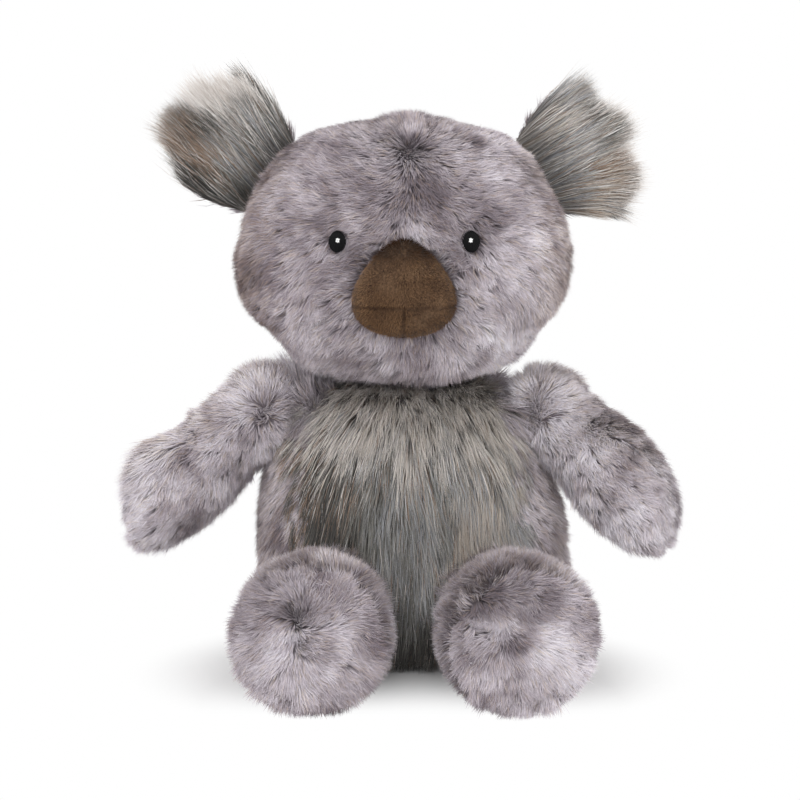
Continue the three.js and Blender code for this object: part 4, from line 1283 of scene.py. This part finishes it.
# The leg's pile is darker where the skin faces down: painted shade on its underside.
legTables = dict(
    tintsAndPaintedLight=[(-0.14, ("downward", 0.2, 0.9)),
           (-0.28, ("along", 40, 50), ("upward", 0.7, 0.1), ("mottle", 0.4, 0.65))],
    browns=[(0.2,), (0.2, ("upward", 0.2, 0.9))],
    lengths=[(0.92,)],
)
# The sole is lighter at the whorl's middle, painted light where the parting pile is shaded, and darker at its
# rim, painted shade.
soleTables = dict(
    tintsAndPaintedLight=[(0.36, ("whorl", 9, 1)), (-0.2, ("mottle", 0.52, 0.75)), (-0.1, ("rim", 19, 23))],
    browns=[(0.14,)],
)
soleCoat = dict(
    shortCoat, length=8.0 * mm, lengthSpread=0.22, rootLean=44, tipLean=76, swirl=0.55, swirlSize=13 * mm,
    lockSize=4.6 * mm, lockSpread=0.18, lockDraw=0.26, lockTurn=0.36, tousle=0.8,
)


# A leg lies forwards on the floor, turned outwards by its yaw. The pile of its sole leaves a soft whorl.
def growLeg(side):
    place = joints[f"{side}_leg_raise"]
    rise = legForm["radius"] - legForm["floorCut"] - place[2]
    level = math.sqrt(legForm["length"] ** 2 - rise**2)
    yaw = math.radians(legForm["yaw"])
    axes = aimed(np.array([sides[side] * level * math.sin(yaw), -level * math.cos(yaw), rise]))
    skin = limbSurface(place, axes, legForm, legShares, 0, -pileDepth)
    aside, above = legForm["whorls"][side]

    # The skin, pressed flat where it would reach the floor.
    def pressed(t, a):
        points = skin(t, a)
        points[:, 2] = np.maximum(points[:, 2], legForm["floorGap"])
        return points

    # The sole: a disc that swells by the square of the way to its middle.
    def sole(t, a):
        radius = legForm["soleRadius"] * (1 - t)
        along = legForm["length"] - pileDepth + legForm["soleDome"] * (1 - (1 - t) ** 2)
        return fromAxes(place, axes, radius * np.cos(a), radius * np.sin(a), along)

    def aroundAxis(points):
        apart = points - place
        return apart - dot(apart, axes[2]) * axes[2]

    def measure(roots, normals):
        return dict(plainMeasures(roots, normals), along=(roots - place) @ axes[2] / mm,
                    mottle=smoothNoise(roots, 11 * mm, 117))

    def soleMeasure(roots, normals):
        around = aroundAxis(roots)
        return dict(rim=gapTo(around, 0) / mm, whorl=gapTo(around, [aside, 0, above]) / mm,
                    mottle=smoothNoise(roots, 9 * mm, 119))

    # Outwards from a soft middle, where the hairs stand, and a little down.
    def soleNap(roots, normals):
        apart = aroundAxis(roots) - [aside, 0, above]
        return unit(apart) * ease(0, 20 * mm, gapTo(apart, 0))[:, None] - 0.2 * up

    clothPiece(f"{side}LegCloth", pressed, f"{side}_leg", pileGround,
               [f"{side}_leg_skin", f"{side}_foot_sole", f"{side}_leg_stuffing"])
    growCoat([f"{side}LegPile"], skin, legForm["count"], 700 + sides[side], shortCoat, pileFinish,
             f"{side}_leg", lambda p, n: 0.42 * axes[2] + 0 * p,
             pileDye(0.62, legTables, 101 + sides[side], measure), lengthsOf(legTables, measure),
             lambda p, n: np.where(p[:, 2] < 3 * mm, 0.3, 1.0),
             lambda p, n: ((p - place) @ axes[2] > -6 * mm) & (dot(n, axes[2])[:, 0] < 0.86),
             after=onTheFloor)
    growCoat([f"{side}SolePile"], sole, legForm["soleCount"], 720 + sides[side], soleCoat, pileFinish,
             f"{side}_leg", soleNap,
             pileDye(legForm["soleBase"][side], soleTables, 111 + sides[side], soleMeasure), after=onTheFloor)


for side in sides:
    growArm(side)
    growLeg(side)


# Studio: a pale floor, soft lamps and the camera

studio = dict(
    target=(-1.6 * mm, -20 * mm, 105.5 * mm), elevation=9, distance=950 * mm, fieldOfView=19.1, world=0.8,
    lamps=[("keyLamp", (-0.4, -1.7, 1.3), 22.0), ("fillLamp", (1.5, -1.2, 0.8), 5.0)], lampSize=1.8,
    floorReach=4.0, paper=(250, 250, 250), shadowShift=(-2 * mm, 42 * mm, 0), shadowScale=(0.76, 1, 1),
    shadowRound=(52 * mm, 86 * mm), shadowFront=(-45 * mm, -105 * mm),
)


# Links an object to the scene, and turns it so that its -Z points from its place at the studio's target, with
# its +Y up.
def aimedObject(name, data, place):
    holder = bpy.data.objects.new(name, data)
    bpy.context.scene.collection.objects.link(holder)
    holder.location = place
    holder.rotation_euler = Vector(np.array(studio["target"]) - place).to_track_quat("-Z", "Y").to_euler()
    return holder


# What the camera sees takes the place of a plain shader, by a share of its own rays, and the light stays.
def seenInstead(tree, plain, seen, share=None):
    rays = addNode(tree, "ShaderNodeLightPath", {})["Is Camera Ray"]
    if share is not None:
        rays = addMath(tree, "MULTIPLY", share, rays)
    return addNode(tree, "ShaderNodeMixShader", {0: rays, 1: plain, 2: seen})[0]


# The world lights the toy evenly and is white to the camera.
def buildWorld():
    world = bpy.data.worlds.new("studio")
    bpy.context.scene.world = world
    world.use_nodes = True
    tree = world.node_tree
    light = tree.nodes["Background"]
    light.inputs["Color"].default_value = colour(255, 255, 255)
    light.inputs["Strength"].default_value = studio["world"]
    seen = addNode(tree, "ShaderNodeBackground", {"Color": colour(255, 255, 255)})
    tree.links.new(seenInstead(tree, light.outputs[0], seen[0]), tree.nodes["World Output"].inputs["Surface"])


# The floor is paper that fades to white away from the toy: outside an oval about it, and in front of it,
# where the camera sees white painted over the toy's cast shadow.
def buildFloor():
    reach = studio["floorReach"]
    mesh = bpy.data.meshes.new("floor")
    mesh.from_pydata([(-reach, -reach, 0), (reach, -reach, 0), (reach, reach, 0), (-reach, reach, 0)], [],
                     [(0, 1, 2, 3)])
    floor = bpy.data.objects.new("floor", mesh)
    bpy.context.scene.collection.objects.link(floor)
    material, tree, shader = newMaterial("floorPaper", 0.9, 0.0, 0.1)
    shader.inputs["Base Color"].default_value = colour(*studio["paper"])
    place = addNode(tree, "ShaderNodeTexCoord", {})["Object"]
    scaled = addNode(tree, "ShaderNodeMapping", {
        "Vector": place, "Location": studio["shadowShift"], "Scale": studio["shadowScale"]})["Vector"]
    away = addNode(tree, "ShaderNodeVectorMath", {0: scaled}, operation="LENGTH")["Value"]
    parts = addNode(tree, "ShaderNodeSeparateXYZ", {"Vector": place})
    fades = [addNode(tree, "ShaderNodeMapRange", {"Value": value, "From Min": start, "From Max": end},
                     interpolation_type="SMOOTHSTEP")["Result"]
             for value, (start, end) in ((away, studio["shadowRound"]), (parts["Y"], studio["shadowFront"]))]
    white = addNode(tree, "ShaderNodeEmission", {})
    seen = seenInstead(tree, shader.outputs[0], white[0], addMath(tree, "MAXIMUM", *fades))
    tree.links.new(seen, tree.nodes["Material Output"].inputs["Surface"])
    mesh.materials.append(material)


# Two soft lamps, and the camera at the photograph's angle.
def buildStudio():
    for name, place, power in studio["lamps"]:
        lamp = bpy.data.lights.new(name, "AREA")
        lamp.size = studio["lampSize"]
        lamp.energy = power
        aimedObject(name, lamp, np.array(place))
    camera = bpy.data.cameras.new("camera")
    camera.sensor_width = 36
    camera.lens = camera.sensor_width / 2 / math.tan(math.radians(studio["fieldOfView"]) / 2)
    lift = math.radians(studio["elevation"])
    place = np.array(studio["target"]) + studio["distance"] * np.array([0, -math.cos(lift), math.sin(lift)])
    bpy.context.scene.camera = aimedObject("camera", camera, place)
    print("studio lit")


buildWorld()
buildFloor()
buildStudio()
print(f"{sum(len(mesh.loops) - 2 * len(mesh.polygons) for mesh in bpy.data.meshes)} triangles in all")
bpy.context.scene.view_settings.view_transform = "Standard"
